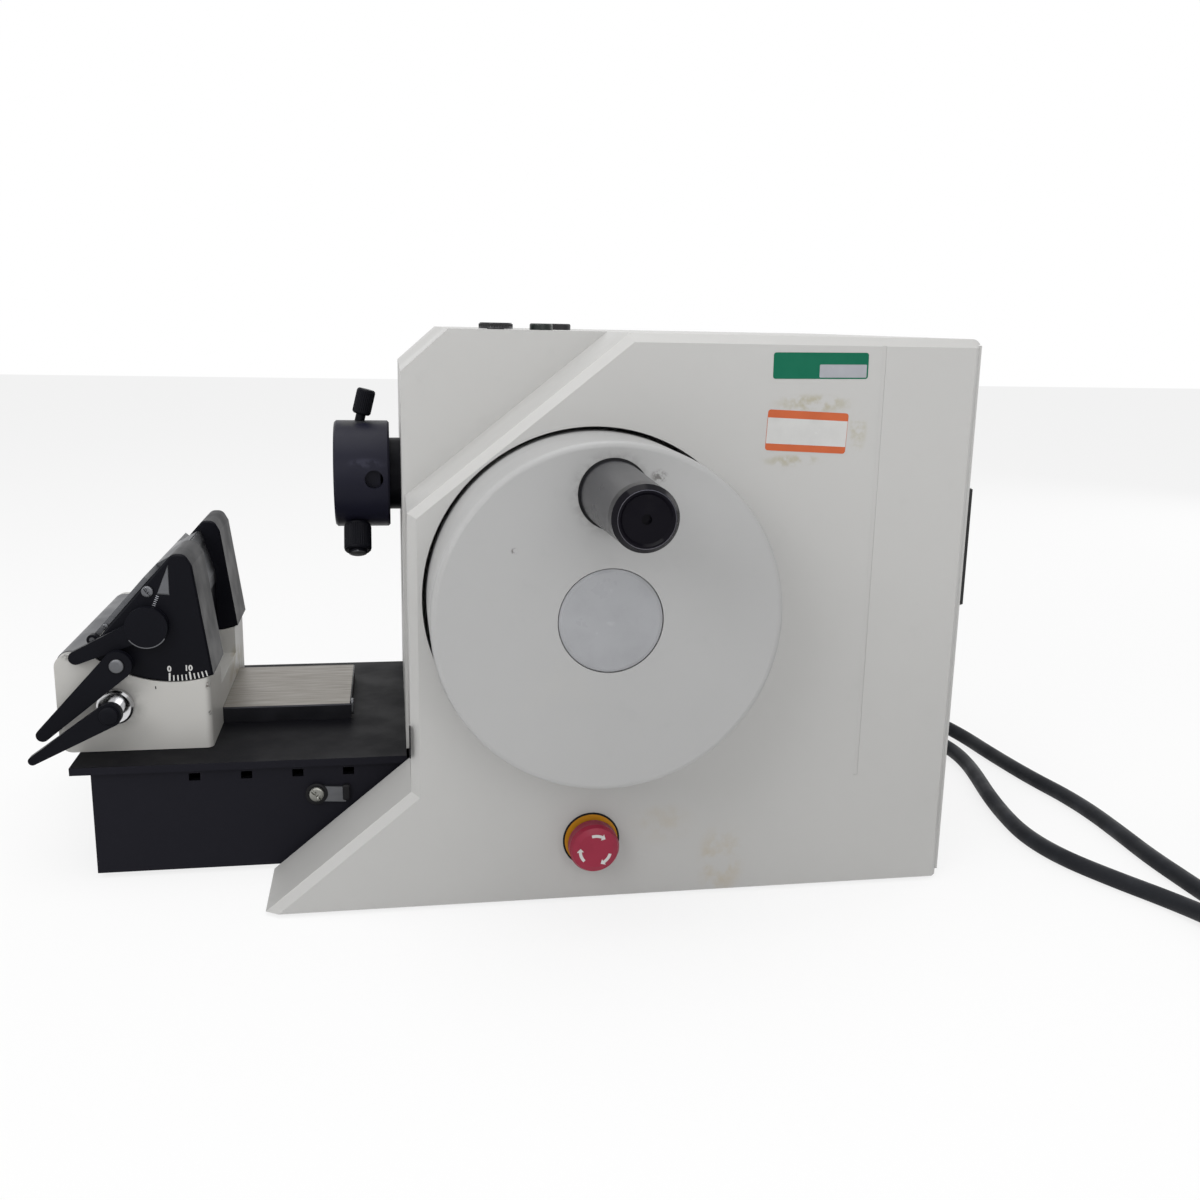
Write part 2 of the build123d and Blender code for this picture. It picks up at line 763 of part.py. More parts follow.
def crank_disc():
    disc = rod_y(crank_disc_radius, wheel_x, wheel_z, crank_disc_y, crank_disc_y + crank_disc_thick)
    disc -= rod_y(shaft_radius, wheel_x, wheel_z, crank_disc_y - 1,
                  crank_disc_y + crank_disc_thick + 1)
    for i in range(crank_holes):
        turn = radians(crank_hole_first + crank_hole_step * i)
        disc -= rod_y(crank_hole_radius, wheel_x + crank_throw * cos(turn),
                      wheel_z + crank_throw * sin(turn), crank_disc_y - 1,
                      crank_disc_y + crank_disc_thick + 1)
    y = crank_disc_y + crank_disc_thick
    return disc + rod_y(crank_pin_radius, wheel_x, wheel_z + crank_throw, y,
                        y + slide_block_lift + slide_block_thick)


def slide_block():
    y = crank_disc_y + crank_disc_thick + slide_block_lift
    half = slide_block_side / 2
    z = wheel_z + crank_throw
    body = block(wheel_x - half, wheel_x + half, y, y + slide_block_thick, z - half, z + half)
    return body - rod_y(crank_pin_radius + crank_pin_fit, wheel_x, z, y - 1,
                        y + slide_block_thick + 1)


def bearing_pedestal():
    base_half = cheek_width / 2
    boss = bearing_outer + bearing_boss
    profile = outline([
        (wheel_x - base_half, plate_top_z), (wheel_x + base_half, plate_top_z),
        (wheel_x + boss, wheel_z), (wheel_x - boss, wheel_z),
    ])
    body = None
    for y in (cheek_near_y, cheek_far_y):
        cheek = across_y(profile, y, y + cheek_thick)
        cheek += rod_y(boss, wheel_x, wheel_z, y, y + cheek_thick)
        cheek -= rod_y(bearing_outer, wheel_x, wheel_z, y - 1, y + cheek_thick + 1)
        body = cheek if body is None else body + cheek
    foot = block(wheel_x - base_half, wheel_x + base_half, cheek_near_y,
                 cheek_far_y + cheek_thick, plate_top_z, plate_top_z + pedestal_foot)
    return body + foot


def shaft_bearings():
    rings = []
    for y in (cheek_near_y, cheek_far_y):
        ring = rod_y(bearing_outer, wheel_x, wheel_z, y, y + cheek_thick)
        rings.append(ring - rod_y(shaft_radius + shaft_run, wheel_x, wheel_z, y - 1,
                                  y + cheek_thick + 1))
    return Compound(children=rings)


def flanged_pulley(x, z, radius, bore):
    half = (pulley_width - belt_width) / 2 - belt_gap
    y0, y1 = pulley_y, pulley_y + pulley_width
    lip = radius + pulley_flange
    return turned([
        (bore, y0), (lip, y0), (lip, y0 + half), (radius, y0 + half), (radius, y1 - half),
        (lip, y1 - half), (lip, y1), (bore, y1),
    ], x, z)


def drive_belt():
    """Closed loop round both pulleys, a hair clear of them."""
    big, small = driven_pulley_radius + belt_gap, motor_pulley_radius + belt_gap
    y0 = pulley_y + (pulley_width - belt_width) / 2
    return across_y(belt_loop(big + belt_thick, small + belt_thick) - belt_loop(big, small),
                    y0, y0 + belt_width)


def belt_loop(big, small):
    dx, dz = motor_x - wheel_x, motor_z - wheel_z
    gap = hypot(dx, dz)
    heading = atan2(dz, dx)
    lean = atan2(sqrt(gap ** 2 - (big - small) ** 2), big - small)
    pts = []
    for x, z, r, side in ((wheel_x, wheel_z, big, 1), (motor_x, motor_z, small, 1),
                          (motor_x, motor_z, small, -1), (wheel_x, wheel_z, big, -1)):
        turn = heading + side * lean
        pts.append((x + r * cos(turn), z + r * sin(turn)))
    band = outline(pts)
    return band + Pos(wheel_x, wheel_z) * Circle(big) + Pos(motor_x, motor_z) * Circle(small)


def drive_motor():
    y0 = cheek_far_y + cheek_thick / 2
    body = rod_y(motor_radius, motor_x, motor_z, y0, y0 + motor_long)
    body += rod_y(motor_radius / 2, motor_x, motor_z, y0 + motor_long,
                  y0 + motor_long + motor_tail)
    half = motor_radius + motor_plate_thick
    body += block(motor_x - half, motor_x + half, y0 - motor_plate_thick, y0, plate_top_z,
                  motor_z + half)
    body += block(motor_x - half, motor_x + half, y0, y0 + half, plate_top_z,
                  plate_top_z + motor_plate_thick)
    return body - rod_y(motor_shaft_radius + shaft_run, motor_x, motor_z,
                        y0 - motor_plate_thick - 1, y0 + motor_shaft_long + 1)


def motor_pulley():
    y0 = cheek_far_y + cheek_thick / 2
    shaft = rod_y(motor_shaft_radius, motor_x, motor_z, pulley_y, y0 + motor_shaft_long)
    return flanged_pulley(motor_x, motor_z, motor_pulley_radius, motor_shaft_radius) + shaft


# ---- vertical slide and feed --------------------------------------------------------------
def slide_column():
    half = column_width / 2
    top = top_z - wall - column_head_gap
    column = block(rail_x - half, rail_x + half, rail_back_y, rail_back_y + column_thick,
                   plate_top_z, top)
    foot = outline([(rail_back_y + column_thick, plate_top_z),
                    (main_inner_far - column_rib_gap, plate_top_z),
                    (rail_back_y + column_thick, column_rib_high)])
    for x in (rail_x - half, rail_x + half - column_rib_thick):
        column += extrude(front_plane(x) * foot, amount=column_rib_thick, dir=(1, 0, 0))
    return column


def slide_rail():
    half = rail_width / 2
    top = top_z - wall - column_head_gap
    rail = block(rail_x - half, rail_x + half, rail_back_y - rail_deep, rail_back_y, rail_low_z,
                 top)
    neck_y = rail_back_y - rail_deep + rail_head_deep
    for side in (-1, 1):
        x = rail_x + side * half
        groove_x = x - side * rail_groove_deep
        rail -= block(min(x, groove_x), max(x, groove_x), neck_y, neck_y + rail_groove_high, 0,
                      top + 1)
    return rail


def slide_car():
    half = rail_car_width / 2
    z0, z1 = head_z - carriage_half_high, head_z + carriage_half_high
    car = block(rail_x - half, rail_x + half, car_near_y, car_near_y + rail_car_deep, z0, z1)
    slot = rail_width / 2 + rail_fit
    face = rail_back_y - rail_deep
    car -= block(rail_x - slot, rail_x + slot, face - rail_fit, car_near_y + rail_car_deep + 1,
                 z0 - 1, z1 + 1)
    neck_y = face + rail_head_deep + rail_fit
    for side in (-1, 1):
        x = rail_x + side * slot
        tooth_x = x - side * (rail_groove_deep - rail_fit)
        car += block(min(x, tooth_x), max(x, tooth_x), neck_y,
                     neck_y + rail_groove_high - 2 * rail_fit, z0, z1)
    return car


def carriage():
    z0, z1 = head_z - carriage_half_high, head_z + carriage_half_high
    y0 = head_y - carriage_near
    body = block(carriage_x, carriage_back_x, y0, car_near_y, z0, z1)
    body = chamfer(body.edges().filter_by(Axis.X), carriage_chamfer)
    body -= rod_x(arm_radius + arm_fit, head_y, head_z, carriage_x - 1, carriage_back_x + 1)
    yoke_z = wheel_z + crank_throw
    yoke = block(wheel_x - yoke_half_long, wheel_x + yoke_half_long, yoke_y, yoke_y + yoke_thick,
                 yoke_z - yoke_half_high, yoke_z + yoke_half_high)
    slot = slide_block_side / 2 + yoke_slot_gap
    yoke -= block(wheel_x - yoke_slot_half_long, wheel_x + yoke_slot_half_long, yoke_y - 1,
                  yoke_y + yoke_thick - yoke_web, yoke_z - slot, yoke_z + slot)
    arm_x = wheel_x - yoke_half_long
    yoke += block(arm_x + yoke_web, carriage_back_x - carriage_chamfer, yoke_y + yoke_thick, y0,
                  yoke_z - yoke_half_high, yoke_z + yoke_half_high)
    return body + yoke


def front_shutter():
    x0 = front_x + wall + shutter_gap
    plate = block(x0, x0 + shutter_thick, head_y - shutter_half_wide, head_y + shutter_half_wide,
                  head_z - shutter_down, top_z - nose_drop - shutter_top_gap)
    plate -= rod_x(collar_radius + head_slot_gap, head_y, head_z, x0 - 1, x0 + shutter_thick + 1)
    rise = carriage_half_high - shutter_post_inset
    for z in (head_z - rise, head_z + rise):
        for y in (head_y - shutter_post_near, head_y + shutter_post_far):
            plate += rod_x(post_radius, y, z, x0 + shutter_thick, carriage_x)
    return plate


def specimen_arm():
    end = carriage_back_x - arm_back_gap
    body = rod_x(arm_radius, head_y, head_z, collar_x + collar_long, end)
    body += rod_x(collar_radius, head_y, head_z, collar_x, collar_x + collar_long)
    body -= rod_x(spindle_radius + 1, head_y, head_z, spindle_front_x - feed - 4, end + 1)
    body -= rod_x(nut_radius, head_y, head_z, end - nut_long, end + 1)
    neck = rod_x(neck_radius, head_y, head_z, tilt_x, collar_x)
    half = neck_ball - neck_flat
    neck += (Pos(tilt_x, head_y, head_z) * Sphere(neck_ball)) & block(
        tilt_x - half, tilt_x + half, head_y - half, head_y + half, head_z - half, head_z + half)
    neck -= rod_z(tilt_pin_radius + tilt_pin_fit, tilt_x, head_y, head_z - neck_ball,
                  head_z + neck_ball)
    return body + neck


def feed_nut():
    end = carriage_back_x - arm_back_gap
    nut = rod_x(nut_radius, head_y, head_z, end - nut_long, end)
    return nut - rod_x(spindle_radius + spindle_fit, head_y, head_z, end - nut_long - 1, end + 1)


def feed_spindle():
    start = spindle_front_x
    end = carriage_back_x + stepper_gap - coupling_long - 1
    spindle = rod_x(spindle_radius, head_y, head_z, start, end)
    return spindle + rod_x(coupling_radius, head_y, head_z, end, end + coupling_long)


def feed_motor():
    """Stepper on its bracket behind the carriage."""
    half = stepper_side / 2
    x0 = carriage_back_x + stepper_gap
    x1 = x0 + stepper_plate
    motor = block(x1, x1 + stepper_long, head_y - half, head_y + half, head_z - half, head_z + half)
    motor = chamfer(motor.edges().filter_by(Axis.X), stepper_chamfer)
    plate = block(x0, x1, head_y - half, head_y + half, head_z - half, head_z + half)
    for side_y in (-1, 1):
        for side_z in (-1, 1):
            y, z = head_y + side_y * (half - 4), head_z + side_z * (half - 4)
            plate += rod_x(post_radius, min(y, head_y + carriage_far - post_radius), z,
                           carriage_back_x, x0)
    return motor + plate


# ---- orienting head -----------------------------------------------------------------------
def tilt_ring():
    """Gimbal ring: upright pins into the arm's neck, level pins into the disc."""
    ring = rod_x(ring_outer, head_y, head_z, tilt_x - ring_half, tilt_x + ring_half)
    ring -= rod_x(ring_inner, head_y, head_z, tilt_x - ring_half - 1, tilt_x + ring_half + 1)
    for side in (-1, 1):
        ring += rod_z(tilt_pin_radius, tilt_x, head_y, head_z + side * ring_inner,
                      head_z + side * tilt_pin_start)
        ring += rod_y(tilt_pin_radius, tilt_x, head_z, head_y + side * (ring_outer - 1),
                      head_y + side * (tilt_cavity_radius + tilt_pin_deep))
    return ring


def orienting_disc():
    x0, x1 = disc_front_x, disc_back_x
    disc = rod_x(disc_radius, head_y, head_z, x0, x1)
    disc = chamfer(disc.edges().filter_by(GeomType.CIRCLE), disc_chamfer)
    disc -= rod_x(disc_recess_radius, head_y, head_z, x1 - disc_recess_deep, x1 + 1)
    disc -= rod_x(tilt_cavity_radius, head_y, head_z, tilt_cavity_front_x, x1 + 1)
    pin_end = tilt_cavity_radius + tilt_pin_deep + 1
    disc -= rod_y(tilt_pin_radius + tilt_pin_fit, tilt_x, head_z, head_y - pin_end,
                  head_y + pin_end)
    disc -= rod_y(side_hole_radius, side_hole_x, head_z, head_y - disc_radius - 1,
                  head_y - tilt_cavity_radius - side_hole_floor)
    disc -= block(x0 - 1, x0 + pocket_deep, head_y - pocket_wide / 2, head_y + pocket_wide / 2,
                  head_z - pocket_high / 2, head_z + pocket_high / 2)
    low = head_z - pocket_high / 2
    half = pocket_wide / 2
    jaw = block(x0 + pocket_deep - jaw_thick, x0 + pocket_deep, head_y - half, head_y + half, low,
                low + fixed_jaw_high)
    disc += jaw - block(x0 + jaw_lip, x0 + pocket_deep, head_y - half - 1, head_y + half + 1,
                        low + fixed_jaw_high - jaw_hook, low + fixed_jaw_high + 1)
    disc -= rod(clamp_stem_radius + lever_fit, clamp_at(tilt_cavity_radius + clamp_stem_floor),
                clamp_at(disc_radius + 2))
    foot, way = lock_axis()
    bore = foot - way * (disc_radius - tilt_cavity_radius - lock_neck_floor)
    return disc - rod(lock_neck_radius + lever_fit, tuple(bore), tuple(foot + way))


def clamp_at(reach):
    """Point on the clamp knob's axis at a distance from the disc's axis."""
    lean = radians(clamp_swing)
    return (clamp_x, head_y - reach * sin(lean), head_z - reach * cos(lean))


def lock_axis():
    """Foot on the disc's rim and direction of the lock grip."""
    lean = radians(lock_lean)
    return Vector(lock_x, head_y, head_z + disc_radius), Vector(sin(lean), 0, cos(lean))


def moving_jaw():
    top = head_z + pocket_high / 2 - jaw_travel - jaw_gap
    x0 = disc_front_x + pocket_deep - jaw_gap
    half = pocket_wide / 2 - jaw_gap
    jaw = block(x0 - jaw_thick, x0, head_y - half, head_y + half, top - moving_jaw_high, top)
    return jaw - block(disc_front_x + jaw_lip, x0 + 1, head_y - half - 1, head_y + half + 1,
                       top - moving_jaw_high - 1, top - moving_jaw_high + jaw_hook)


def lock_grip():
    """Knurled grip on top of the disc that locks the orientation."""
    foot, way = lock_axis()
    root = foot - way * (disc_radius - tilt_cavity_radius - lock_neck_floor - lever_fit)
    mid = foot + way * lock_neck_long
    tip = mid + way * lock_grip_long
    grip = rod(lock_grip_radius, tuple(mid), tuple(tip))
    grip = chamfer(grip.edges().filter_by(GeomType.CIRCLE), knob_chamfer)
    return grip + rod(lock_neck_radius, tuple(root), tuple(mid))


def clamp_knob():
    """Knurled knob of the cassette clamp, with a slotted end."""
    start, end = disc_radius + clamp_stand, disc_radius + clamp_stand + clamp_long
    knob = rod(clamp_radius, clamp_at(start), clamp_at(end))
    knob = chamfer(knob.edges().filter_by(GeomType.CIRCLE), knob_chamfer)
    knob += rod(clamp_end_radius, clamp_at(end), clamp_at(end + clamp_end_long))
    knob += rod(clamp_stem_radius, clamp_at(tilt_cavity_radius + clamp_stem_floor + 1),
                clamp_at(start))
    groove = Plane(origin=clamp_at(end + clamp_end_long),
                   z_dir=(0, -sin(radians(clamp_swing)), -cos(radians(clamp_swing)))) * Box(
        3 * clamp_radius, clamp_screw_slot, clamp_end_long)
    return knob - groove


# ---- knife holder -------------------------------------------------------------------------
def holder_base():
    """Off-white base with two cheeks hollowed to the segment's radius."""
    r = holder_round
    side = outline([
        (holder_left_x, deck_top_z + slide_fit), (holder_left_x, holder_top_z),
        (holder_right_x, holder_top_z), (holder_right_x, deck_top_z + slide_fit),
    ])
    body = across_y(side, ear_near_y, ear_far_y)
    body = fillet(body.edges().filter_by(Axis.Y).group_by(Axis.X)[0], r)
    body = fillet(body.edges().filter_by(Axis.Z).sort_by(Axis.X)[-2:], holder_corner)
    body -= rod_y(segment_radius + segment_fit, edge_x, edge_z, ear_near_y - 1, ear_far_y + 1)
    body -= block(bridge_cut_x, holder_right_x + 1, ear_inner_near_y, ear_inner_far_y, bridge_z,
                  holder_top_z + 1)
    body -= block(holder_left_x - 1, holder_right_x + 1, guide_near_y - guide_fit,
                  guide_near_y + guide_width + guide_fit, 0, deck_top_z + guide_high + slide_fit)
    body -= rod_y(lever_stud_radius + lever_fit, guide_lever_x, guide_lever_z, ear_near_y - 1,
                  ear_near_y + stud_deep + 2)
    return body


def wedge():
    """Side view of the tilting segment: its back follows the blade's slope, its foot is an arc."""
    tip = edge_point(-ear_rise, ear_offset)
    low = edge_point(2 * segment_radius, ear_offset)
    top_x = edge_x + ear_edge_top[0]
    foot_x = edge_x + ear_edge_low[0] + ear_foot_lean
    side = outline([
        low, tip, (top_x - ear_tip_flat, tip[1]), (top_x, edge_z + ear_edge_top[1]),
        (edge_x + ear_edge_low[0], edge_z + ear_edge_low[1]), (foot_x, edge_z - 2 * segment_radius),
        (low[0], edge_z - 2 * segment_radius),
    ])
    return side & (Pos(edge_x, edge_z) * Circle(segment_radius))


def cross_body_outline():
    seat_end = edge_point(table_seat, 0)
    low = edge_point(2 * segment_radius, 0)
    right = edge_x + body_front
    side = outline([
        seat_end, (edge_x + table_inner[0], edge_z + table_inner[1]), (right, edge_z - table_low),
        (right, edge_z - 2 * segment_radius), (low[0], edge_z - 2 * segment_radius), low,
    ])
    return side & (Pos(edge_x, edge_z) * Circle(segment_radius))


def clearance_segment():
    """Two ears joined by a cross body, in one casting."""
    body = None
    for y0, y1 in ((ear_near_y, ear_inner_near_y), (ear_inner_far_y, ear_far_y)):
        ear = across_y(wedge(), y0, y1)
        tips = ear.edges().filter_by(Axis.Y).group_by(Axis.Z)[-1]
        ear = fillet(tips, ear_tip_round)
        ear = chamfer(ear.faces().sort_by(Axis.Y)[0].edges(), ear_chamfer)
        body = ear if body is None else body + ear
    body += across_y(cross_body_outline(), ear_inner_near_y, ear_inner_far_y)
    body -= rod_y(eccentric_radius + lever_fit, blade_lever_x, blade_lever_z, ear_near_y - 1,
                  ear_inner_far_y + eccentric_end + 2)
    body -= rod_y(lever_stud_radius + lever_fit, segment_lever_x, segment_lever_z, ear_near_y - 1,
                  ear_near_y + stud_deep + 2)
    body -= blade_slot(blade_fit)
    return body + press_knuckles()


def blade_slot(gap):
    """Room for the blade's ends in the ears."""
    half = blade_long / 2 + gap
    side = outline([edge_point(-gap, -gap), edge_point(blade_wide + gap, -gap),
                    edge_point(blade_wide + gap, blade_thick + gap),
                    edge_point(-gap, blade_thick + gap)])
    return across_y(side, head_y - half, head_y + half)


def blade_table():
    side = outline([
        (edge_x, edge_z), (edge_x + body_front, edge_z - table_drop),
        (edge_x + body_front, edge_z - table_low),
        (edge_x + table_inner[0], edge_z + table_inner[1]), edge_point(table_seat, 0),
    ])
    return across_y(side, ear_inner_near_y, ear_inner_far_y)


def blade():
    side = outline([
        edge_point(0, 0), edge_point(blade_bevel, blade_thick), edge_point(blade_wide, blade_thick),
        edge_point(blade_wide, 0),
    ])
    return across_y(side, head_y - blade_long / 2, head_y + blade_long / 2)


def pressure_plate():
    """Tongue over the blade between the ears, and a wide plate along the segment's back."""
    low = ear_offset + press_lift
    high = low + press_thick
    tongue = outline([
        edge_point(press_start, press_gap), edge_point(press_start, press_gap + press_lip),
        edge_point(press_step, high), edge_point(press_step + press_overlap, high),
        edge_point(press_step + press_overlap, low), edge_point(press_step + press_ramp, press_gap),
    ])
    plate = across_y(tongue, ear_inner_near_y + press_lip, ear_inner_far_y - press_lip)
    wing = outline([
        edge_point(press_step, low), edge_point(press_step, high), edge_point(press_end, high),
        edge_point(press_end, low),
    ])
    plate += across_y(wing, ear_near_y + press_side_y, ear_far_y - press_side_y)
    px, pz = press_axis()
    return plate + rod_y(press_pin_radius, px, pz, ear_near_y + press_side_y - knuckle_wide,
                         ear_far_y - press_side_y + knuckle_wide)


def press_knuckles():
    """Two knuckles at the foot of the segment's back that hold the pressure plate's pin."""
    px, pz = press_axis()
    r = knuckle_radius
    arm = outline([
        edge_point(press_end - r, ear_offset - 1), edge_point(press_end + r, ear_offset - 1),
        edge_point(press_end + r, ear_offset + press_lift + press_thick / 2),
        edge_point(press_end - r, ear_offset + press_lift + press_thick / 2),
    ]) + Pos(px, pz) * Circle(r)
    arm -= Pos(px, pz) * Circle(press_pin_radius + lever_fit)
    near = ear_near_y + press_side_y - knuckle_wide
    far = ear_far_y - press_side_y + slide_fit
    return (across_y(arm, near, near + knuckle_wide - slide_fit) +
            across_y(arm, far, far + knuckle_wide - slide_fit))


def press_axis():
    return edge_point(press_end, ear_offset + press_lift + press_thick / 2)


def tapered_arm(x0, z0, reach, ends):
    """Flat lever outline: round root, round tip, straight sides."""
    x1, z1 = x0 + reach[0], z0 + reach[1]
    root, tip = ends
    long = hypot(*reach)
    heading = atan2(z1 - z0, x1 - x0)
    lean = atan2(sqrt(long ** 2 - (root - tip) ** 2), root - tip)
    pts = []
    for x, z, r, side in ((x0, z0, root, 1), (x1, z1, tip, 1), (x1, z1, tip, -1),
                          (x0, z0, root, -1)):
        turn = heading + side * lean
        pts.append((x + r * cos(turn), z + r * sin(turn)))
    return outline(pts) + Pos(x0, z0) * Circle(root) + Pos(x1, z1) * Circle(tip)


def segment_lever():
    arm = tapered_arm(segment_lever_x, segment_lever_z, segment_lever_reach, segment_lever_ends)
    y = ear_near_y - segment_lever_stand
    lever = across_y(arm, y, y + lever_thick)
    return lever + rod_y(lever_stud_radius, segment_lever_x, segment_lever_z, y,
                         ear_near_y + stud_deep)


def guide_lever():
    arm = tapered_arm(guide_lever_x, guide_lever_z, guide_lever_reach, guide_lever_ends)
    y = ear_near_y - guide_lever_stand
    bar = across_y(arm, y, y + lever_thick)
    return bar - rod_y(guide_neck_radius, guide_lever_x, guide_lever_z, y - 1, y + lever_thick + 1)


def guide_lever_boss():
    y1 = ear_near_y - slide_fit
    y0 = y1 - guide_boss_thick
    boss = rod_y(guide_boss_radius, guide_lever_x, guide_lever_z, y0, y1)
    boss = chamfer(boss.edges().filter_by(GeomType.CIRCLE).sort_by(Axis.Y)[0],
                   guide_boss_chamfer)
    boss += rod_y(guide_neck_radius, guide_lever_x, guide_lever_z,
                  ear_near_y - guide_lever_stand - guide_neck_proud, y0)
    return boss + rod_y(lever_stud_radius, guide_lever_x, guide_lever_z, y1,
                        ear_near_y + stud_deep)


def blade_lever():
    """Cam lever and its eccentric shaft under the pressure plate."""
    y = ear_near_y - blade_lever_stand
    arm = tapered_arm(blade_lever_x, blade_lever_z, blade_lever_reach, blade_lever_ends)
    lever = across_y(arm, y, y + blade_lever_thick)
    lever += rod_y(boss_radius, blade_lever_x, blade_lever_z, y - 1, y + blade_lever_thick)
    return lever + rod_y(eccentric_radius, blade_lever_x, blade_lever_z, y,
                         ear_inner_far_y + eccentric_end)


# ---- controls -----------------------------------------------------------------------------
def stop_bezel():
    ring = rod_y(stop_ring_radius, stop_x, stop_z, near_y - stop_ring_proud, near_y + wall)
    half = stop_body_side / 2
    y0 = near_y + wall
    body = block(stop_x - half, stop_x + half, y0, y0 + stop_body_long, stop_z - half,
                 stop_z + half)
    return ring + body - rod_y(stop_stem_radius + stop_fit, stop_x, stop_z, near_y - 2,
                               y0 + stop_body_long + 1)


def stop_plunger():
    front = near_y - stop_travel - stop_gap - stop_bore
    return rod_y(stop_stem_radius, stop_x, stop_z, front + 1,
                 near_y + wall + stop_body_long - stop_travel)


def stop_button():
    """Mushroom head, turned about its stem to release."""
    back = near_y - stop_travel - stop_gap
    front = back - stop_head_long
    r = stop_head_radius
    crown = stop_head_crown
    bore = stop_stem_radius + stop_fit
    return turned([
        (bore, back), (r - 1, back), (r, back - stop_head_back), (r, front + stop_head_edge),
        (r - crown[1], front + crown[1]), (r - crown[0], front), (0, front),
        (0, back - stop_bore), (bore, back - stop_bore),
    ], stop_x, stop_z)


def top_knob():
    x, y, bore = control_places()[0]
    knob = rod_z(knob_radius, x, y, top_z + control_fit, top_z + control_high,
                 knob_radius - knob_taper)
    return knob + rod_z(bore, x, y, top_z - control_deep, top_z + control_fit)


def top_button(index):
    x, y, radius = control_places()[index]
    high = top_z + control_high
    button = rod_z(radius, x, y, top_z - control_deep, high)
    return fillet(button.edges().filter_by(GeomType.CIRCLE).group_by(Axis.Z)[-1],
                  button_round)


def switch_tray():
    """Tray under the top that guides the knob's and the buttons' stems."""
    x0, x1 = knob_x - knob_radius, brake_x + button_radius + wall
    y0, y1 = recess_y + 2 * wall, brake_y + button_radius + wall
    top = top_z - wall
    tray = block(x0, x1, y0, y1, top - tray_deep, top)
    for x, y, radius in control_places():
        tray -= rod_z(radius + lever_fit, x, y, top - tray_deep + wall, top + 1)
    return tray


def lock_tab():
    """Small sheet lever on the base, with its stud through the base's wall."""
    y1 = base_near_y - slide_fit
    half = lock_tab_high / 2
    tip_x = lock_tab_x + lock_tab_long
    arm = outline([
        (lock_tab_x, lock_tab_z - half), (tip_x, lock_tab_z - half - lock_tab_drop),
        (tip_x, lock_tab_z + half - lock_tab_drop), (lock_tab_x, lock_tab_z + half),
    ]) + Pos(lock_tab_x, lock_tab_z) * Circle(half)
    tab = across_y(arm, y1 - lock_tab_thick, y1)
    return tab + rod_y(lever_stud_radius, lock_tab_x, lock_tab_z, y1 - lock_tab_thick,
                       base_near_y + base_wall + lock_stud_end)


def coarse_wheel():
    """Fluted hand knob for the coarse feed, with its spindle."""
    y0, y1 = far_y + coarse_stand, far_y + coarse_stand + coarse_long
    wheel = rod_y(coarse_radius, coarse_x, coarse_z, y0, y1)
    wheel = fillet(wheel.edges().filter_by(GeomType.CIRCLE).sort_by(Axis.Y)[-1],
                   coarse_round)
    for i in range(coarse_flutes):
        turn = 2 * pi * i / coarse_flutes
        reach = coarse_radius + coarse_flute_stand
        wheel -= rod_y(coarse_flute_radius, coarse_x + reach * cos(turn),
                       coarse_z + reach * sin(turn), y0 - 1, y1 + 1)
    wheel -= rod_y(coarse_radius / 2, coarse_x, coarse_z, y1 - coarse_dish, y1 + 1)
    return wheel + rod_y(coarse_shaft, coarse_x, coarse_z, main_inner_far - coarse_shaft_deep, y0)


# ---- electrics and rear -------------------------------------------------------------------
def rear_sockets():
    """Mains inlet, control socket and the rocker's frame, set in the rear panel."""
    half_w, half_h = inlet_wide / 2, inlet_high / 2
    inlet = block(inner_x - inlet_deep, back_x, inlet_y - half_w, inlet_y + half_w,
                  inlet_z - half_h, inlet_z + half_h)
    half_w, half_h = half_w - inlet_wall, half_h - inlet_wall
    inlet -= block(back_x - inlet_hollow, back_x + 1, inlet_y - half_w, inlet_y + half_w,
                   inlet_z - half_h, inlet_z + half_h)
    socket = rod_x(control_socket_radius, control_y, inlet_z, inner_x - socket_deep,
                   back_x + socket_proud)
    socket -= rod_x(control_socket_radius - socket_wall, control_y, inlet_z,
                    back_x - socket_hollow, back_x + 2 * socket_proud)
    frame = block(inner_x - socket_deep, back_x + frame_proud, rocker_y - rocker_half,
                  rocker_y + rocker_half, rocker_z - rocker_high, rocker_z + rocker_high)
    half, high = rocker_half - frame_wall, rocker_high - frame_wall
    frame -= block(inner_x - socket_deep + frame_wall, back_x + 2 * frame_proud, rocker_y - half,
                   rocker_y + half, rocker_z - high, rocker_z + high)
    pin = rocker_high - frame_wall / 2
    frame -= rod_z(rocker_pin_radius + lever_fit, rocker_pin_x, rocker_y, rocker_z - pin,
                   rocker_z + pin)
    return Compound(children=[inlet, socket, frame])


def power_rocker():
    """Rocker that tips on an upright pin."""
    half = rocker_half - frame_wall - rocker_gap
    taper = 2 * rocker_gap
    front = back_x + rocker_proud - rocker_gap
    shape = outline([
        (back_x - 4, rocker_y - half + taper), (back_x - 4, rocker_y + half - taper),
        (front, rocker_y + half - taper), (back_x + rocker_gap, rocker_y),
        (front, rocker_y - half + taper),
    ])
    high = rocker_high - frame_wall - rocker_gap / 2
    rocker = extrude(Plane(origin=(0, 0, rocker_z - high)) * shape, amount=2 * high, dir=(0, 0, 1))
    pin = rocker_high - frame_wall / 2 - lever_fit
    return rocker + rod_z(rocker_pin_radius, rocker_pin_x, rocker_y, rocker_z - pin, rocker_z + pin)


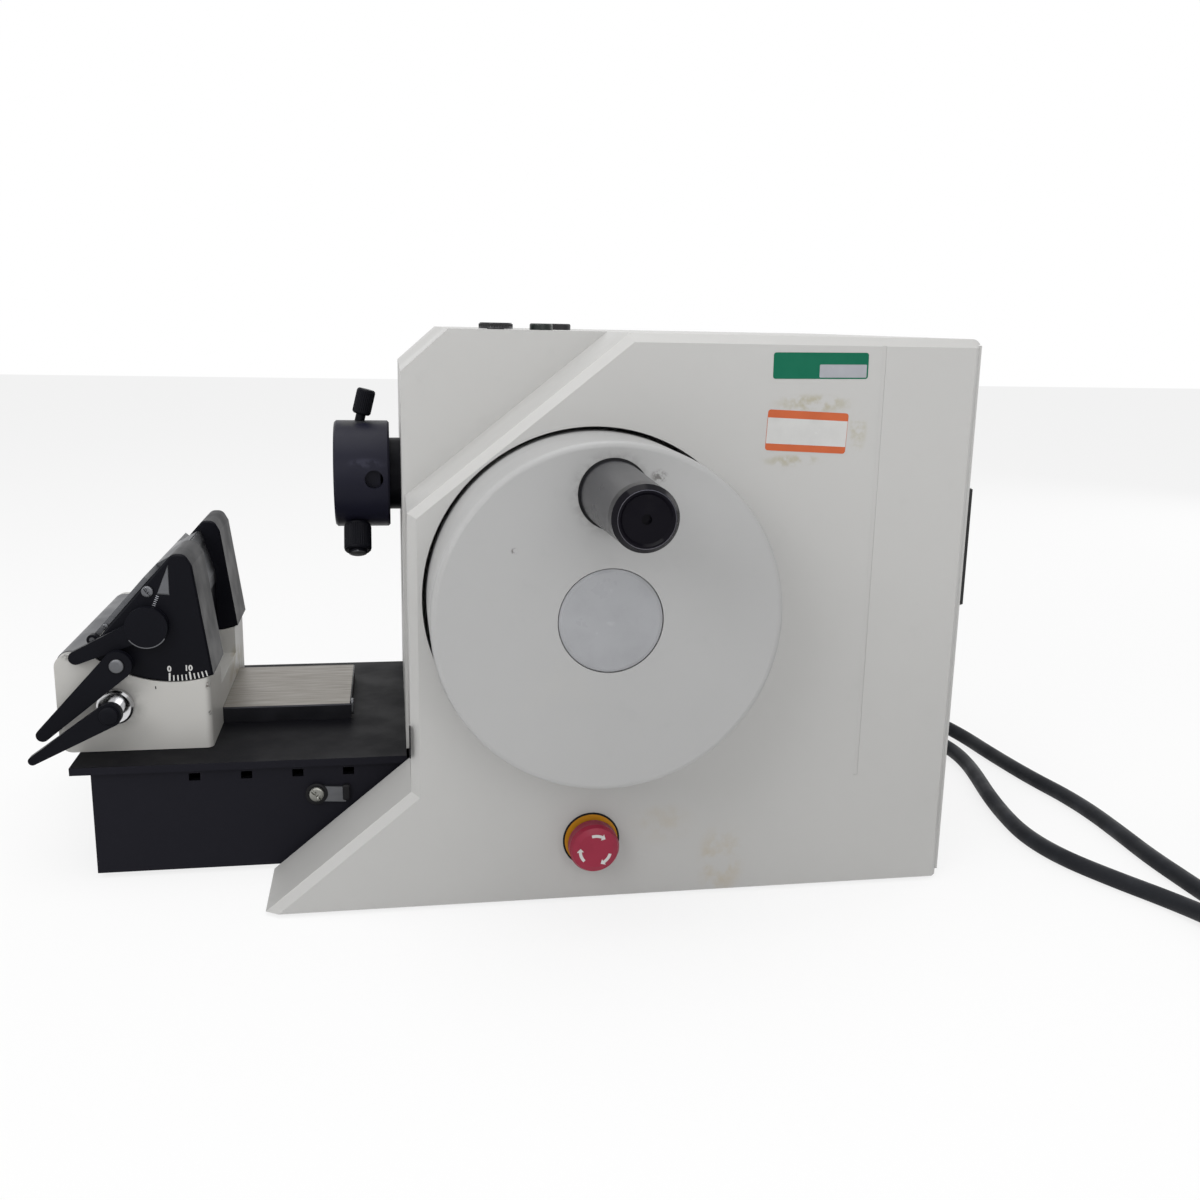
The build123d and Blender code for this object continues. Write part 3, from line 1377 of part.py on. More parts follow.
# ---- leads --------------------------------------------------------------------------------
mains_route = [
    (mains_exit_x, inlet_y, inlet_z), (324.9, inlet_y, 16.5), (347, 158.9, 13.5),
    (363.9, 142, 9.5), (373, 119.9, 6.3), (376.5, 92, cord_z), (379, 62, cord_z),
    (382.5, 32, cord_z), (388, 2, cord_z), (390, -28, cord_z),
    (389, -60, cord_z), (387, -95, cord_z), (388, -128, cord_z), (389, -156, cord_z),
    (391, -184, cord_z),
]
control_route = [
    (control_exit_x, control_y, inlet_z), (304.5, control_y, 16.5), (325.8, 129.2, 13.5),
    (342.2, 112.8, 9.5), (350.5, 91.5, 6.3), (350, 68.5, cord_z), (344.5, 42, cord_z),
    (337, 12, cord_z), (330.5, -22, cord_z), (327, -56, cord_z), (332.5, -88, cord_z),
    (347, -119, cord_z), (364, -149, cord_z), (373.5, -180, cord_z + 2),
]


def climbing_turn():
    """The control lead's way round the outside of the lower coil and up onto the second one."""
    low = cord_z + 2
    high = coil_deep + cord_z + 1
    points = []
    for i in range(climb_steps):
        turn = radians(climb_from + climb_step * i)
        rise = min(1, i / (climb_steps - 3))
        reach = climb_reach - climb_turn_in * max(0, i - climb_steps + 3)
        points.append((coil_x + reach * cos(turn), coil_y + reach * sin(turn),
                       low + (high - low) * rise))
    return points


def lead_tube(points):
    """Straight runs joined by tangent arcs, as large as their runs allow."""
    points = [Vector(*p) for p in points]
    radii = []
    for a, b, c in zip(points, points[1:], points[2:]):
        turn = radians((b - a).get_angle(c - b))
        radii.append(tangent_share * min((b - a).length, (c - b).length) / tan(turn / 2))
    path = FilletPolyline(*points, radius=radii)
    section = Plane(origin=points[0], z_dir=(points[1] - points[0]).normalized()) * Circle(
        cord_diameter / 2)
    tube = sweep(section, path=path)
    print("lead radii", [round(r) for r in radii], "length", round(path.length),
          "volume ratio", round(tube.volume / (pi * cord_diameter ** 2 / 4 * path.length), 4))
    return tube


def lead_coil(low):
    ring = rod_z(coil_mid + coil_deep / 2, coil_x, coil_y, low, low + coil_deep)
    return ring - rod_z(coil_mid - coil_deep / 2, coil_x, coil_y, low - 1, low + coil_deep + 1)


def mains_connector():
    """Moulded appliance connector, pushed into the inlet, with its tapered strain relief."""
    half_w = inlet_wide / 2 - inlet_wall - connector_fit
    half_h = inlet_high / 2 - inlet_wall - connector_fit
    nose = block(back_x - connector_deep, back_x + 1, inlet_y - half_w, inlet_y + half_w,
                 inlet_z - half_h, inlet_z + half_h)
    body_x = back_x + 1 + connector_long
    half_w, half_h = connector_half
    body = block(back_x + 1, body_x, inlet_y - half_w, inlet_y + half_w, inlet_z - half_h,
                 inlet_z + half_h)
    body = fillet(body.edges().filter_by(Axis.X), connector_round)
    return nose + body + rod_x(connector_relief, inlet_y, inlet_z, body_x, mains_exit_x,
                               cord_diameter / 2)


def control_connector():
    nose = rod_x(control_socket_radius - socket_wall - lever_fit, control_y, inlet_z,
                 back_x - socket_hollow + 1, back_x + control_body_stand + 1)
    start = back_x + control_body_stand
    end = start + control_body_long
    body = rod_x(control_body_radius, control_y, inlet_z, start, end)
    relief = rod_x(control_relief, control_y, inlet_z, end, control_exit_x, cord_diameter / 2)
    return nose + body + relief


def plug_body(x, y, half):
    """Strain relief and body of a plug lying on the bench, pointing along +Y."""
    y0 = y + relief_long
    relief = rod_y(cord_diameter / 2, x, plug_half, y, y0, relief_radius)
    body = block(x - half, x + half, y0, y0 + plug_long, 0, 2 * plug_half)
    body = fillet(body.edges().filter_by(Axis.Y), plug_round)
    return relief + body


def mains_plug():
    x, y = mains_tail[-1][0], mains_tail[-1][1]
    body = lead_tube(mains_tail) + plug_body(x, y, mains_plug_half)
    y1 = y + relief_long + plug_long
    z = plug_half - prong_drop
    for side in (-1, 1):
        mid = x + side * prong_apart / 2
        body += block(mid - prong_thick / 2, mid + prong_thick / 2, y1, y1 + prong_long,
                      z - prong_wide / 2, z + prong_wide / 2)
    return body + rod_y(earth_radius, x, plug_half + earth_rise, y1, y1 + earth_long)


def control_plug():
    x, y = control_tail[-1][0], control_tail[-1][1]
    y1 = y + relief_long + plug_long
    nose = rod_y(control_nose_radius, x, plug_half, y1, y1 + control_nose_long)
    return lead_tube(control_tail) + plug_body(x, y, plug_half) + nose


# ---- the nodes ----------------------------------------------------------------------------
nodes = {
    "main_housing": lambda: main_housing() + switch_tray(),
    "side_pod": side_pod,
    "rear_panel": rear_panel,
    "chassis": chassis,
    "base_box": base_box,
    "base_deck": base_deck,
    "rubber_feet": rubber_feet,
    "guide_rail": guide_rail,
    "handwheel": lambda: handwheel() + grip_pin(),
    "hub_cap": hub_cap,
    "grip_sleeve": grip_sleeve,
    "grip_cap": grip_cap,
    "drive_shaft": drive_shaft,
    "crank_disc": crank_disc,
    "slide_block": slide_block,
    "bearing_pedestal": bearing_pedestal,
    "shaft_bearings": shaft_bearings,
    "driven_pulley": lambda: flanged_pulley(wheel_x, wheel_z, driven_pulley_radius, shaft_radius),
    "motor_pulley": motor_pulley,
    "drive_belt": drive_belt,
    "drive_motor": drive_motor,
    "slide_column": lambda: slide_column() + slide_rail(),
    "carriage": lambda: carriage() + slide_car(),
    "front_shutter": front_shutter,
    "specimen_arm": lambda: specimen_arm() + feed_nut(),
    "feed_spindle": feed_spindle,
    "feed_motor": feed_motor,
    "tilt_ring": tilt_ring,
    "orienting_disc": orienting_disc,
    "moving_jaw": moving_jaw,
    "lock_grip": lock_grip,
    "clamp_knob": clamp_knob,
    "holder_base": holder_base,
    "clearance_segment": clearance_segment,
    "blade_table": blade_table,
    "blade": blade,
    "pressure_plate": pressure_plate,
    "segment_lever": segment_lever,
    "guide_lever": guide_lever,
    "guide_lever_boss": guide_lever_boss,
    "blade_lever": blade_lever,
    "stop_bezel": stop_bezel,
    "stop_plunger": stop_plunger,
    "stop_button": stop_button,
    "top_knob": top_knob,
    "start_button": lambda: top_button(1),
    "brake_button": lambda: top_button(2),
    "lock_tab": lock_tab,
    "coarse_wheel": coarse_wheel,
    "rear_sockets": rear_sockets,
    "power_rocker": power_rocker,
    "mains_connector": mains_connector,
    "mains_lead": lambda: lead_tube(mains_route),
    "mains_coil": lambda: lead_coil(0),
    "mains_plug": mains_plug,
    "control_connector": control_connector,
    "control_lead": lambda: lead_tube(control_route + climbing_turn()),
    "control_coil": lambda: lead_coil(coil_deep),
    "control_plug": control_plug,
}
for name, make in nodes.items():
    keep(name, make())
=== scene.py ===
import json
from math import cos, pi, radians, sin

import bmesh
import bpy
from mathutils import Matrix, Vector


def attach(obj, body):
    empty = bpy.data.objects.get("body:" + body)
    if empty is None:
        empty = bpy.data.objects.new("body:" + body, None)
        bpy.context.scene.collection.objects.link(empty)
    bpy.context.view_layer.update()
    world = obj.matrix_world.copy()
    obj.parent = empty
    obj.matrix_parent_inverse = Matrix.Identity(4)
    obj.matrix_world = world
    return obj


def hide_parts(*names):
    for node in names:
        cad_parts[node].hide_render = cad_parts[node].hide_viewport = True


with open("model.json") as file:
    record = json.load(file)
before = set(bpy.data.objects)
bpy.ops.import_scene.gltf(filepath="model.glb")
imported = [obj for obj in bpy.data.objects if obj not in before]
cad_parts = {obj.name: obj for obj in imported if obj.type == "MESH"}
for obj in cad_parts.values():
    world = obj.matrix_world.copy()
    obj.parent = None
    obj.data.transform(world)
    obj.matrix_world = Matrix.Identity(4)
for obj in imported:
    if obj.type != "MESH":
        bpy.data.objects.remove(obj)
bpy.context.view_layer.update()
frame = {"nodes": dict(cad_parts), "record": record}
scene = bpy.context.scene
nodes = frame["nodes"]
MM = 0.001


# ---- camera, floor and light --------------------------------------------------------------
camera_place = (-0.056, -0.706, 0.309)
camera_turn = (77.2347, -1.1190, -9.6214)      # degrees about X, Y and Z
camera_lens, camera_sensor = 36.56, 36.0       # millimetres
floor_wide = 12.0
floor_drop = 0.0002                            # below the feet, so that no faces meet
floor_colour = (0.86, 0.86, 0.86, 1)
floor_glow = 0.80                              # share of plain white where the floor is seen
world_level = 0.50
white = (1, 1, 1, 1)


def make_camera():
    camera = bpy.data.objects.new("camera", bpy.data.cameras.new("camera"))
    scene.collection.objects.link(camera)
    camera.location = camera_place
    camera.rotation_euler = [radians(v) for v in camera_turn]
    camera.data.sensor_width = camera_sensor
    camera.data.lens = camera_lens
    camera.data.clip_start = 0.01
    camera.data.clip_end = 50.0
    scene.camera = camera


def new_nodes(owner):
    """An empty node tree for a material or a world."""
    owner.use_nodes = True
    tree = owner.node_tree
    tree.nodes.clear()
    return tree


def seen_straight(tree):
    """1 for camera, glossy and transmission rays, so metal shows the pale backdrop too."""
    path = tree.nodes.new("ShaderNodeLightPath")
    value = path.outputs["Is Camera Ray"]
    for ray in ("Is Glossy Ray", "Is Transmission Ray"):
        both = tree.nodes.new("ShaderNodeMath")
        both.operation = "MAXIMUM"
        tree.links.new(value, both.inputs[0])
        tree.links.new(path.outputs[ray], both.inputs[1])
        value = both.outputs[0]
    return value


def blend(tree, amount, first, second, out):
    """Mix two shaders into an output, by an amount from 0 to 1."""
    mix = tree.nodes.new("ShaderNodeMixShader")
    tree.links.new(amount, mix.inputs[0])
    tree.links.new(first.outputs[0], mix.inputs[1])
    tree.links.new(second.outputs[0], mix.inputs[2])
    tree.links.new(mix.outputs[0], out.inputs[0])


def make_floor():
    """Pale bench that keeps the object's shadow and fades to white."""
    bpy.ops.mesh.primitive_plane_add(size=floor_wide, location=(0, 0, -floor_drop))
    floor = bpy.context.object
    floor.name = "floor"
    material = bpy.data.materials.new("bench")
    tree = new_nodes(material)
    out = tree.nodes.new("ShaderNodeOutputMaterial")
    diffuse = tree.nodes.new("ShaderNodeBsdfDiffuse")
    diffuse.inputs["Color"].default_value = floor_colour
    glow = tree.nodes.new("ShaderNodeEmission")
    glow.inputs["Color"].default_value = white
    amount = tree.nodes.new("ShaderNodeMath")
    amount.operation = "MULTIPLY"
    amount.inputs[1].default_value = floor_glow
    tree.links.new(seen_straight(tree), amount.inputs[0])
    blend(tree, amount.outputs[0], diffuse, glow, out)
    floor.data.materials.append(material)


def make_world():
    """White where it is seen or mirrored; a soft level for everything it lights."""
    world = bpy.data.worlds.new("studio")
    scene.world = world
    tree = new_nodes(world)
    out = tree.nodes.new("ShaderNodeOutputWorld")
    light = tree.nodes.new("ShaderNodeBackground")
    light.inputs["Color"].default_value = white
    light.inputs["Strength"].default_value = world_level
    backdrop = tree.nodes.new("ShaderNodeBackground")
    backdrop.inputs["Color"].default_value = white
    blend(tree, seen_straight(tree), light, backdrop, out)


def area_light(name, place, aim, size, power):
    data = bpy.data.lights.new(name, "AREA")
    data.shape = "SQUARE"
    data.size = size
    data.energy = power
    lamp = bpy.data.objects.new(name, data)
    scene.collection.objects.link(lamp)
    lamp.location = place
    lamp.rotation_euler = (Vector(aim) - Vector(place)).to_track_quat("-Z", "Y").to_euler()


def make_lights():
    """Soft lamps: place, aim, size in metres and power in watts."""
    area_light("ceiling", (-0.2, -0.2, 1.8), (0, 0, 0.1), 1.5, 15.5)
    area_light("key", (-1.2, -1.4, 1.2), (0, 0, 0.15), 0.9, 10.5)
    area_light("front", (0.3, -2.0, 0.9), (0, 0, 0.15), 1.2, 8.5)
    area_light("fill", (1.6, 0.9, 0.8), (0.1, 0, 0.15), 1.1, 6.0)


scene.view_settings.view_transform = "Standard"
make_camera()
make_floor()
make_world()
make_lights()


# ---- materials ----------------------------------------------------------------------------
def shade(colour, factor):
    return tuple(min(1.0, c * factor) for c in colour)


even = (1, 1, 1)            # noise that isn't stretched along any axis
coat_roughness = 0.12
noise_roughness = 0.55


class Finish:
    """One procedural material, built up by the methods below."""

    def __init__(self, name, colour, roughness=0.5, metallic=0.0, coat=0.0, specular=0.5):
        self.material = bpy.data.materials.new(name)
        self.tree = new_nodes(self.material)
        self.out = self.tree.nodes.new("ShaderNodeOutputMaterial")
        self.bsdf = self.tree.nodes.new("ShaderNodeBsdfPrincipled")
        self.link(self.bsdf.outputs[0], self.out.inputs[0])
        self.bsdf.inputs["Base Color"].default_value = (*colour, 1)
        self.bsdf.inputs["Roughness"].default_value = roughness
        self.bsdf.inputs["Metallic"].default_value = metallic
        self.bsdf.inputs["Coat Weight"].default_value = coat
        self.bsdf.inputs["Coat Roughness"].default_value = coat_roughness
        self.bsdf.inputs["Specular IOR Level"].default_value = specular
        self.plain = colour
        self.colour = None      # the socket that carries the colour, once there is one
        self.height = None      # the last bump's output, likewise
        self.place = self.tree.nodes.new("ShaderNodeTexCoord").outputs["Object"]

    def link(self, a, b):
        self.tree.links.new(a, b)

    def stretched(self, scale):
        mapping = self.tree.nodes.new("ShaderNodeMapping")
        mapping.inputs["Scale"].default_value = scale
        self.link(self.place, mapping.inputs["Vector"])
        return mapping.outputs[0]

    def noise(self, scale, detail=4.0, stretch=even):
        node = self.tree.nodes.new("ShaderNodeTexNoise")
        node.inputs["Scale"].default_value = scale
        node.inputs["Detail"].default_value = detail
        node.inputs["Roughness"].default_value = noise_roughness
        self.link(self.stretched(stretch), node.inputs["Vector"])
        return node.outputs["Fac"]

    def ramp(self, value, low, high, start=0.0, end=1.0):
        node = self.tree.nodes.new("ShaderNodeMapRange")
        node.interpolation_type = "SMOOTHSTEP"
        node.inputs["From Min"].default_value = low
        node.inputs["From Max"].default_value = high
        node.inputs["To Min"].default_value = start
        node.inputs["To Max"].default_value = end
        self.link(value, node.inputs["Value"])
        return node.outputs["Result"]

    def tint(self, mask, colour):
        """Lay another colour over the present one where the mask is high."""
        mix = self.tree.nodes.new("ShaderNodeMix")
        mix.data_type = "RGBA"
        self.link(mask, mix.inputs["Factor"])
        if self.colour is None:
            mix.inputs["A"].default_value = (*self.plain, 1)
        else:
            self.link(self.colour, mix.inputs["A"])
        mix.inputs["B"].default_value = (*colour, 1)
        self.colour = mix.outputs["Result"]
        self.link(self.colour, self.bsdf.inputs["Base Color"])

    def mottle(self, scale, colour, low, high, amount, stretch=even):
        """Spots of another colour, where the noise lies above low, in full above high."""
        mask = self.ramp(self.noise(scale, stretch=stretch), low, high, 0.0, amount)
        self.tint(mask, colour)

    def rough(self, scale, low, high, stretch=even):
        """Roughness that wanders between two values."""
        value = self.ramp(self.noise(scale, stretch=stretch), 0.3, 0.7, low, high)
        self.link(value, self.bsdf.inputs["Roughness"])

    def bump(self, scale, strength, distance=0.0001, detail=3.0, stretch=even):
        node = self.tree.nodes.new("ShaderNodeBump")
        node.inputs["Strength"].default_value = strength
        node.inputs["Distance"].default_value = distance
        self.link(self.noise(scale, detail, stretch), node.inputs["Height"])
        if self.height is not None:
            self.link(self.height, node.inputs["Normal"])
        self.height = node.outputs[0]
        self.link(self.height, self.bsdf.inputs["Normal"])

    def patch(self, place, size, colour, amount, grain=60.0):
        """A stain: an ellipsoid about a place in metres, broken up by noise."""
        shift = self.tree.nodes.new("ShaderNodeMapping")
        shift.inputs["Location"].default_value = [-p / q for p, q in zip(place, size)]
        shift.inputs["Scale"].default_value = [1 / q for q in size]
        self.link(self.place, shift.inputs["Vector"])
        reach = self.tree.nodes.new("ShaderNodeVectorMath")
        reach.operation = "LENGTH"
        self.link(shift.outputs[0], reach.inputs[0])
        near = self.ramp(reach.outputs["Value"], 1.0, 0.35)
        broken = self.ramp(self.noise(grain), 0.40, 0.62, 0.0, amount)
        both = self.tree.nodes.new("ShaderNodeMath")
        both.operation = "MULTIPLY"
        self.link(near, both.inputs[0])
        self.link(broken, both.inputs[1])
        self.tint(both.outputs[0], colour)

    def facing(self, axis, low, high):
        """Mask of the surfaces that face along an axis, by their own normal."""
        geometry = self.tree.nodes.new("ShaderNodeNewGeometry")
        dot = self.tree.nodes.new("ShaderNodeVectorMath")
        dot.operation = "DOT_PRODUCT"
        dot.inputs[1].default_value = axis
        self.link(geometry.outputs["True Normal"], dot.inputs[0])
        return self.ramp(dot.outputs["Value"], low, high)

    def shade_towards_floor(self, colour, top, amount):
        """Painted shade that darkens the colour from a height in metres down to the bench."""
        split = self.tree.nodes.new("ShaderNodeSeparateXYZ")
        self.link(self.place, split.inputs[0])
        self.tint(self.ramp(split.outputs["Z"], top, 0.0, 0.0, amount), colour)


def casing_paint(name, colour, stains=(), low_shade=0.0):
    """Pale powder coat with faint yellowing and darker mottles, painted shade towards the bench,
    and stains at given places.
    """
    paint = Finish(name, colour, roughness=0.42)
    paint.mottle(5.0, shade(colour, 0.94), 0.45, 0.7, 0.6)
    paint.mottle(11.0, (0.45, 0.43, 0.38), 0.62, 0.8, 0.22)
    paint.mottle(70.0, shade(colour, 0.90), 0.60, 0.78, 0.30)
    # painted shade: the casing darkens towards the bench
    paint.shade_towards_floor(shade(colour, 0.80), 0.30, low_shade)
    for place, size, tone, amount, grain in stains:
        paint.patch(place, size, tone, amount, grain)
    paint.rough(14.0, 0.36, 0.52)
    paint.bump(1500.0, 0.10)
    return paint.material


def black_paint(name, colour=(0.0080, 0.0079, 0.0118)):
    """Satin enamel with specks, and painted shade on the surfaces that face up."""
    paint = Finish(name, colour, roughness=0.55, specular=0.09)
    paint.mottle(9.0, shade(colour, 1.35), 0.4, 0.75, 0.6)
    paint.mottle(420.0, shade(colour, 2.2), 0.70, 0.80, 0.3)
    # painted shade: the surfaces that face up are darker
    paint.tint(paint.facing((0, 0, 1), 0.80, 0.97), shade(colour, 0.35))
    paint.rough(30.0, 0.50, 0.62)
    paint.bump(1800.0, 0.12)
    return paint.material


def anodised(name, colour=(0.0042, 0.0044, 0.0068), roughness=0.38, specular=0.07, wear=()):
    """Dark anodised aluminium with specks, and rubbed at given places."""
    metal = Finish(name, colour, roughness=roughness, specular=specular)
    metal.mottle(16.0, shade(colour, 1.4), 0.45, 0.75, 0.5)
    metal.mottle(500.0, shade(colour, 2.5), 0.72, 0.80, 0.35)
    for place, size, tone, amount, grain in wear:
        metal.patch(place, size, tone, amount, grain)
    metal.rough(35.0, roughness - 0.04, roughness + 0.08)
    metal.bump(1100.0, 0.03)
    return metal.material


def turned_metal(name, colour=(0.42, 0.42, 0.41), roughness=0.3, stretch=(1, 60, 1)):
    """Bright metal with fine marks of the tool across the stretched axis."""
    metal = Finish(name, colour, roughness=roughness, metallic=0.95)
    metal.mottle(35.0, shade(colour, 0.8), 0.4, 0.7, 0.6, stretch)
    metal.mottle(6.0, (0.20, 0.17, 0.13), 0.55, 0.8, 0.35)
    metal.rough(25.0, roughness - 0.08, roughness + 0.14, stretch)
    metal.bump(60.0, 0.12, detail=2.0, stretch=stretch)
    return metal.material


def chrome(name):
    metal = Finish(name, (0.62, 0.62, 0.63), roughness=0.12, metallic=1.0)
    metal.mottle(90.0, (0.35, 0.34, 0.33), 0.6, 0.8, 0.5)
    metal.rough(120.0, 0.08, 0.22)
    return metal.material


def cast_iron(name):
    metal = Finish(name, (0.06, 0.063, 0.068), roughness=0.6, metallic=0.3)
    metal.mottle(60.0, (0.10, 0.10, 0.11), 0.4, 0.7, 0.7)
    metal.bump(420.0, 0.6, 0.0003)
    return metal.material


def plastic(name, colour, roughness=0.4, coat=0.0, grain=700.0, lift=0.12, specular=0.3):
    """Moulded or printed surface; grain and lift are its bump's scale and strength."""
    skin = Finish(name, colour, roughness=roughness, coat=coat, specular=specular)
    skin.mottle(45.0, shade(colour, 0.82), 0.4, 0.7, 0.5)
    skin.mottle(240.0, shade(colour, 1.35), 0.66, 0.8, 0.35)
    skin.rough(90.0, roughness - 0.08, roughness + 0.12)
    skin.bump(grain, lift)
    return skin.material


def grip_plastic(name):
    """Smooth grey moulding, polished by hands."""
    skin = Finish(name, (0.030, 0.030, 0.034), roughness=0.22, specular=0.22)
    skin.mottle(10.0, (0.027, 0.027, 0.030), 0.4, 0.7, 0.5)
    skin.mottle(500.0, (0.06, 0.06, 0.064), 0.70, 0.8, 0.25)
    skin.rough(15.0, 0.21, 0.28)
    return skin.material


def rubber(name, colour=(0.009, 0.009, 0.011)):
    skin = Finish(name, colour, roughness=0.6, specular=0.2)
    skin.mottle(70.0, shade(colour, 1.8), 0.45, 0.75, 0.7)
    skin.rough(40.0, 0.5, 0.72)
    skin.bump(1200.0, 0.25)
    return skin.material


def rail_steel(name):
    """Ground steel on top, dark on the sides."""
    metal = Finish(name, (0.225, 0.207, 0.182), roughness=0.38, metallic=0.75)
    metal.mottle(28.0, (0.27, 0.252, 0.226), 0.4, 0.7, 0.7, (1, 12, 1))
    metal.mottle(9.0, (0.15, 0.128, 0.10), 0.52, 0.78, 0.5)
    # the faces that don't face up are darkened by their normal
    metal.tint(metal.facing((0, 0, 1), 0.97, 0.80), (0.016, 0.016, 0.020))
    metal.rough(40.0, 0.30, 0.5, (1, 12, 1))
    metal.bump(80.0, 0.10, detail=2.0, stretch=(1, 25, 1))
    return metal.material


housing_colour = (0.475, 0.472, 0.462)
wheel_colour = (0.370, 0.370, 0.369)
holder_colour = (0.465, 0.458, 0.438)
rust = (0.36, 0.27, 0.14)
glue = (0.36, 0.33, 0.24)
pale_glue = (0.38, 0.35, 0.26)
grime = (0.10, 0.095, 0.09)
handled = (0.16, 0.155, 0.15)
dirt = (0.11, 0.09, 0.08)
old_oil = (0.30, 0.26, 0.17)
chip = (0.015, 0.015, 0.015)

# each stain: place and half sizes in metres, colour, amount, scale of the noise that breaks it up
pod_stains = [
    ((0.121, -0.097, 0.020), (0.016, 0.02, 0.026), rust, 0.45, 70.0),
    ((0.086, -0.097, 0.043), (0.022, 0.02, 0.014), rust, 0.22, 60.0),
    ((0.160, -0.097, 0.271), (0.026, 0.01, 0.006), glue, 0.8, 160.0),
    ((0.150, -0.097, 0.2415), (0.020, 0.01, 0.004), glue, 0.7, 160.0),
    ((0.185, -0.097, 0.258), (0.006, 0.01, 0.016), pale_glue, 0.7, 160.0),
]
wheel_stains = [
    ((0.0466, -0.150, 0.2315), (0.024, 0.006, 0.024), grime, 0.75, 300.0),
    ((0.068, -0.149, 0.240), (0.005, 0.003, 0.004), grime, 0.9, 500.0),
    ((0.000, -0.149, 0.205), (0.002, 0.003, 0.002), grime, 0.9, 700.0),
]
holder_stains = [
    ((-0.1604, -0.0136, 0.1040), (0.0026, 0.004, 0.0034), dirt, 1.0, 700.0),
    ((-0.160, -0.0136, 0.0875), (0.0020, 0.004, 0.0022), chip, 1.0, 900.0),
    ((-0.210, -0.0136, 0.0950), (0.018, 0.004, 0.018), handled, 0.6, 90.0),
    ((-0.232, -0.008, 0.124), (0.010, 0.016, 0.005), chip, 0.8, 500.0),
    ((-0.160, 0.103, 0.080), (0.004, 0.05, 0.020), old_oil, 0.8, 90.0),
]

# the looks of the record's material slots
finishes = {
    # the pod's casing gets painted shade towards the bench
    "housing_white": casing_paint("casing_paint", housing_colour, pod_stains, 0.5),
    "wheel_white": casing_paint("wheel_paint", wheel_colour, wheel_stains),
    "holder_white": casing_paint("holder_paint", holder_colour, holder_stains),
    "base_black": black_paint("base_paint"),
    "anodised_black": anodised("black_anodised"),
    "steel": turned_metal("ground_steel"),
    "chrome": chrome("chrome_plate"),
    "blade_steel": turned_metal("blade_steel", (0.6, 0.61, 0.63), 0.18, (60, 1, 1)),
    "iron": cast_iron("machined_iron"),
    "grey_plastic": grip_plastic("grey_grip"),
    "black_plastic": plastic("black_moulding", (0.014, 0.014, 0.015), 0.5),
    "glossy_black": plastic("black_gloss", (0.0035, 0.003, 0.0055), 0.12, 0.0, 300.0, 0.01, 0.07),
    "red_plastic": plastic("red_satin", (0.27, 0.018, 0.044), 0.36, 0.08, 300.0, 0.03, 0.2),
    "yellow_plastic": plastic("yellow_bezel", (0.50, 0.22, 0.014), 0.4, 0.0, 500.0, 0.05, 0.2),
    "cap_white": plastic("cap_satin", (0.32, 0.325, 0.34), 0.34, 0.05, 900.0, 0.05),
    "green_plastic": plastic("green_black_button", (0.006, 0.012, 0.010), 0.35, 0.1),
    "rubber": rubber("foot_rubber"),
    "cord_black": rubber("cord_rubber", (0.009, 0.010, 0.013)),
    "motor_grey": black_paint("motor_paint", (0.03, 0.03, 0.033)),
}


def dress(obj, finish):
    obj.data.materials.clear()
    obj.data.materials.append(finishes[finish])


for part in frame["record"]["subparts"]:
    dress(nodes[part["node"]], part["material_slot"])

disc_wear = [
    ((-0.070, 0.0350, 0.225), (0.014, 0.008, 0.004), (0.05, 0.05, 0.075), 0.4, 200.0),
    ((-0.073, 0.060, 0.247), (0.020, 0.020, 0.004), (0.035, 0.036, 0.036), 0.7, 90.0),
]

# the looks of details, some of which also dress parts of the CAD model
detail_finishes = {
    "rail": rail_steel("rail_steel"),
    "disc": anodised("blue_black_anodised", (0.0095, 0.0095, 0.0185), 0.40, 0.13, disc_wear),
    "print_white": plastic("white_paint", (0.55, 0.55, 0.54), 0.5, 0.0, 900.0, 0.03),
    "label_white": plastic("label_paper", (0.56, 0.56, 0.55), 0.5, 0.0, 500.0, 0.03),
    "label_grey": plastic("label_field", (0.36, 0.37, 0.40), 0.42, 0.0, 500.0, 0.03),
    "label_green": plastic("label_green", (0.002, 0.125, 0.068), 0.4, 0.0, 500.0, 0.03, 0.15),
    "label_orange": plastic("label_orange", (0.52, 0.118, 0.045), 0.4, 0.0, 500.0, 0.03, 0.15),
    # rubbed metal, also used for painted highlights on the blade lever and the near ear
    "rubbed_and_highlight": turned_metal("rubbed_metal_and_highlight", (0.13, 0.133, 0.142), 0.42, (1, 1, 8)),
    "dull_edge": turned_metal("dull_edge", (0.07, 0.07, 0.085), 0.3, (1, 1, 1)),
    "screw_metal": turned_metal("screw_metal", (0.26, 0.26, 0.24), 0.34, (1, 1, 8)),
    # near black; also painted shade in gaps
    "dark_gap": rubber("dark_gap", (0.004, 0.004, 0.005)),
}
finishes.update(detail_finishes)
for node in ("orienting_disc", "moving_jaw"):
    dress(nodes[node], "disc")
dress(nodes["guide_rail"], "rail")
for node in ("lock_tab", "pressure_plate", "blade_table"):
    dress(nodes[node], "rubbed_and_highlight")


# ---- building helpers ---------------------------------------------------------------------
near_side = (0, -1, 0)      # the way the handwheel's side faces


def fit_out(obj, finish, body):
    """Give a new piece its finish and its body."""
    scene.collection.objects.link(obj)
    obj.data.materials.append(finishes[finish])
    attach(obj, body)
    return obj


def add_mesh(name, verts, faces, finish, body, smooth=False):
    mesh = bpy.data.meshes.new(name)
    mesh.from_pydata([Vector(v) for v in verts], [], faces)
    mesh.update()
    if smooth:
        mesh.shade_smooth()
    return fit_out(bpy.data.objects.new(name, mesh), finish, body)


def loft_faces(rows, steps):
    """Quads between closed rows of points, each row with the same number of steps."""
    return [(j * steps + i, j * steps + (i + 1) % steps, (j + 1) * steps + (i + 1) % steps,
             (j + 1) * steps + i) for j in range(rows - 1) for i in range(steps)]


def axis_frame(origin, direction):
    """Matrix of a frame whose Z runs along a direction."""
    turn = Vector(direction).normalized().to_track_quat("Z", "X").to_matrix().to_4x4()
    return Matrix.Translation(Vector(origin)) @ turn


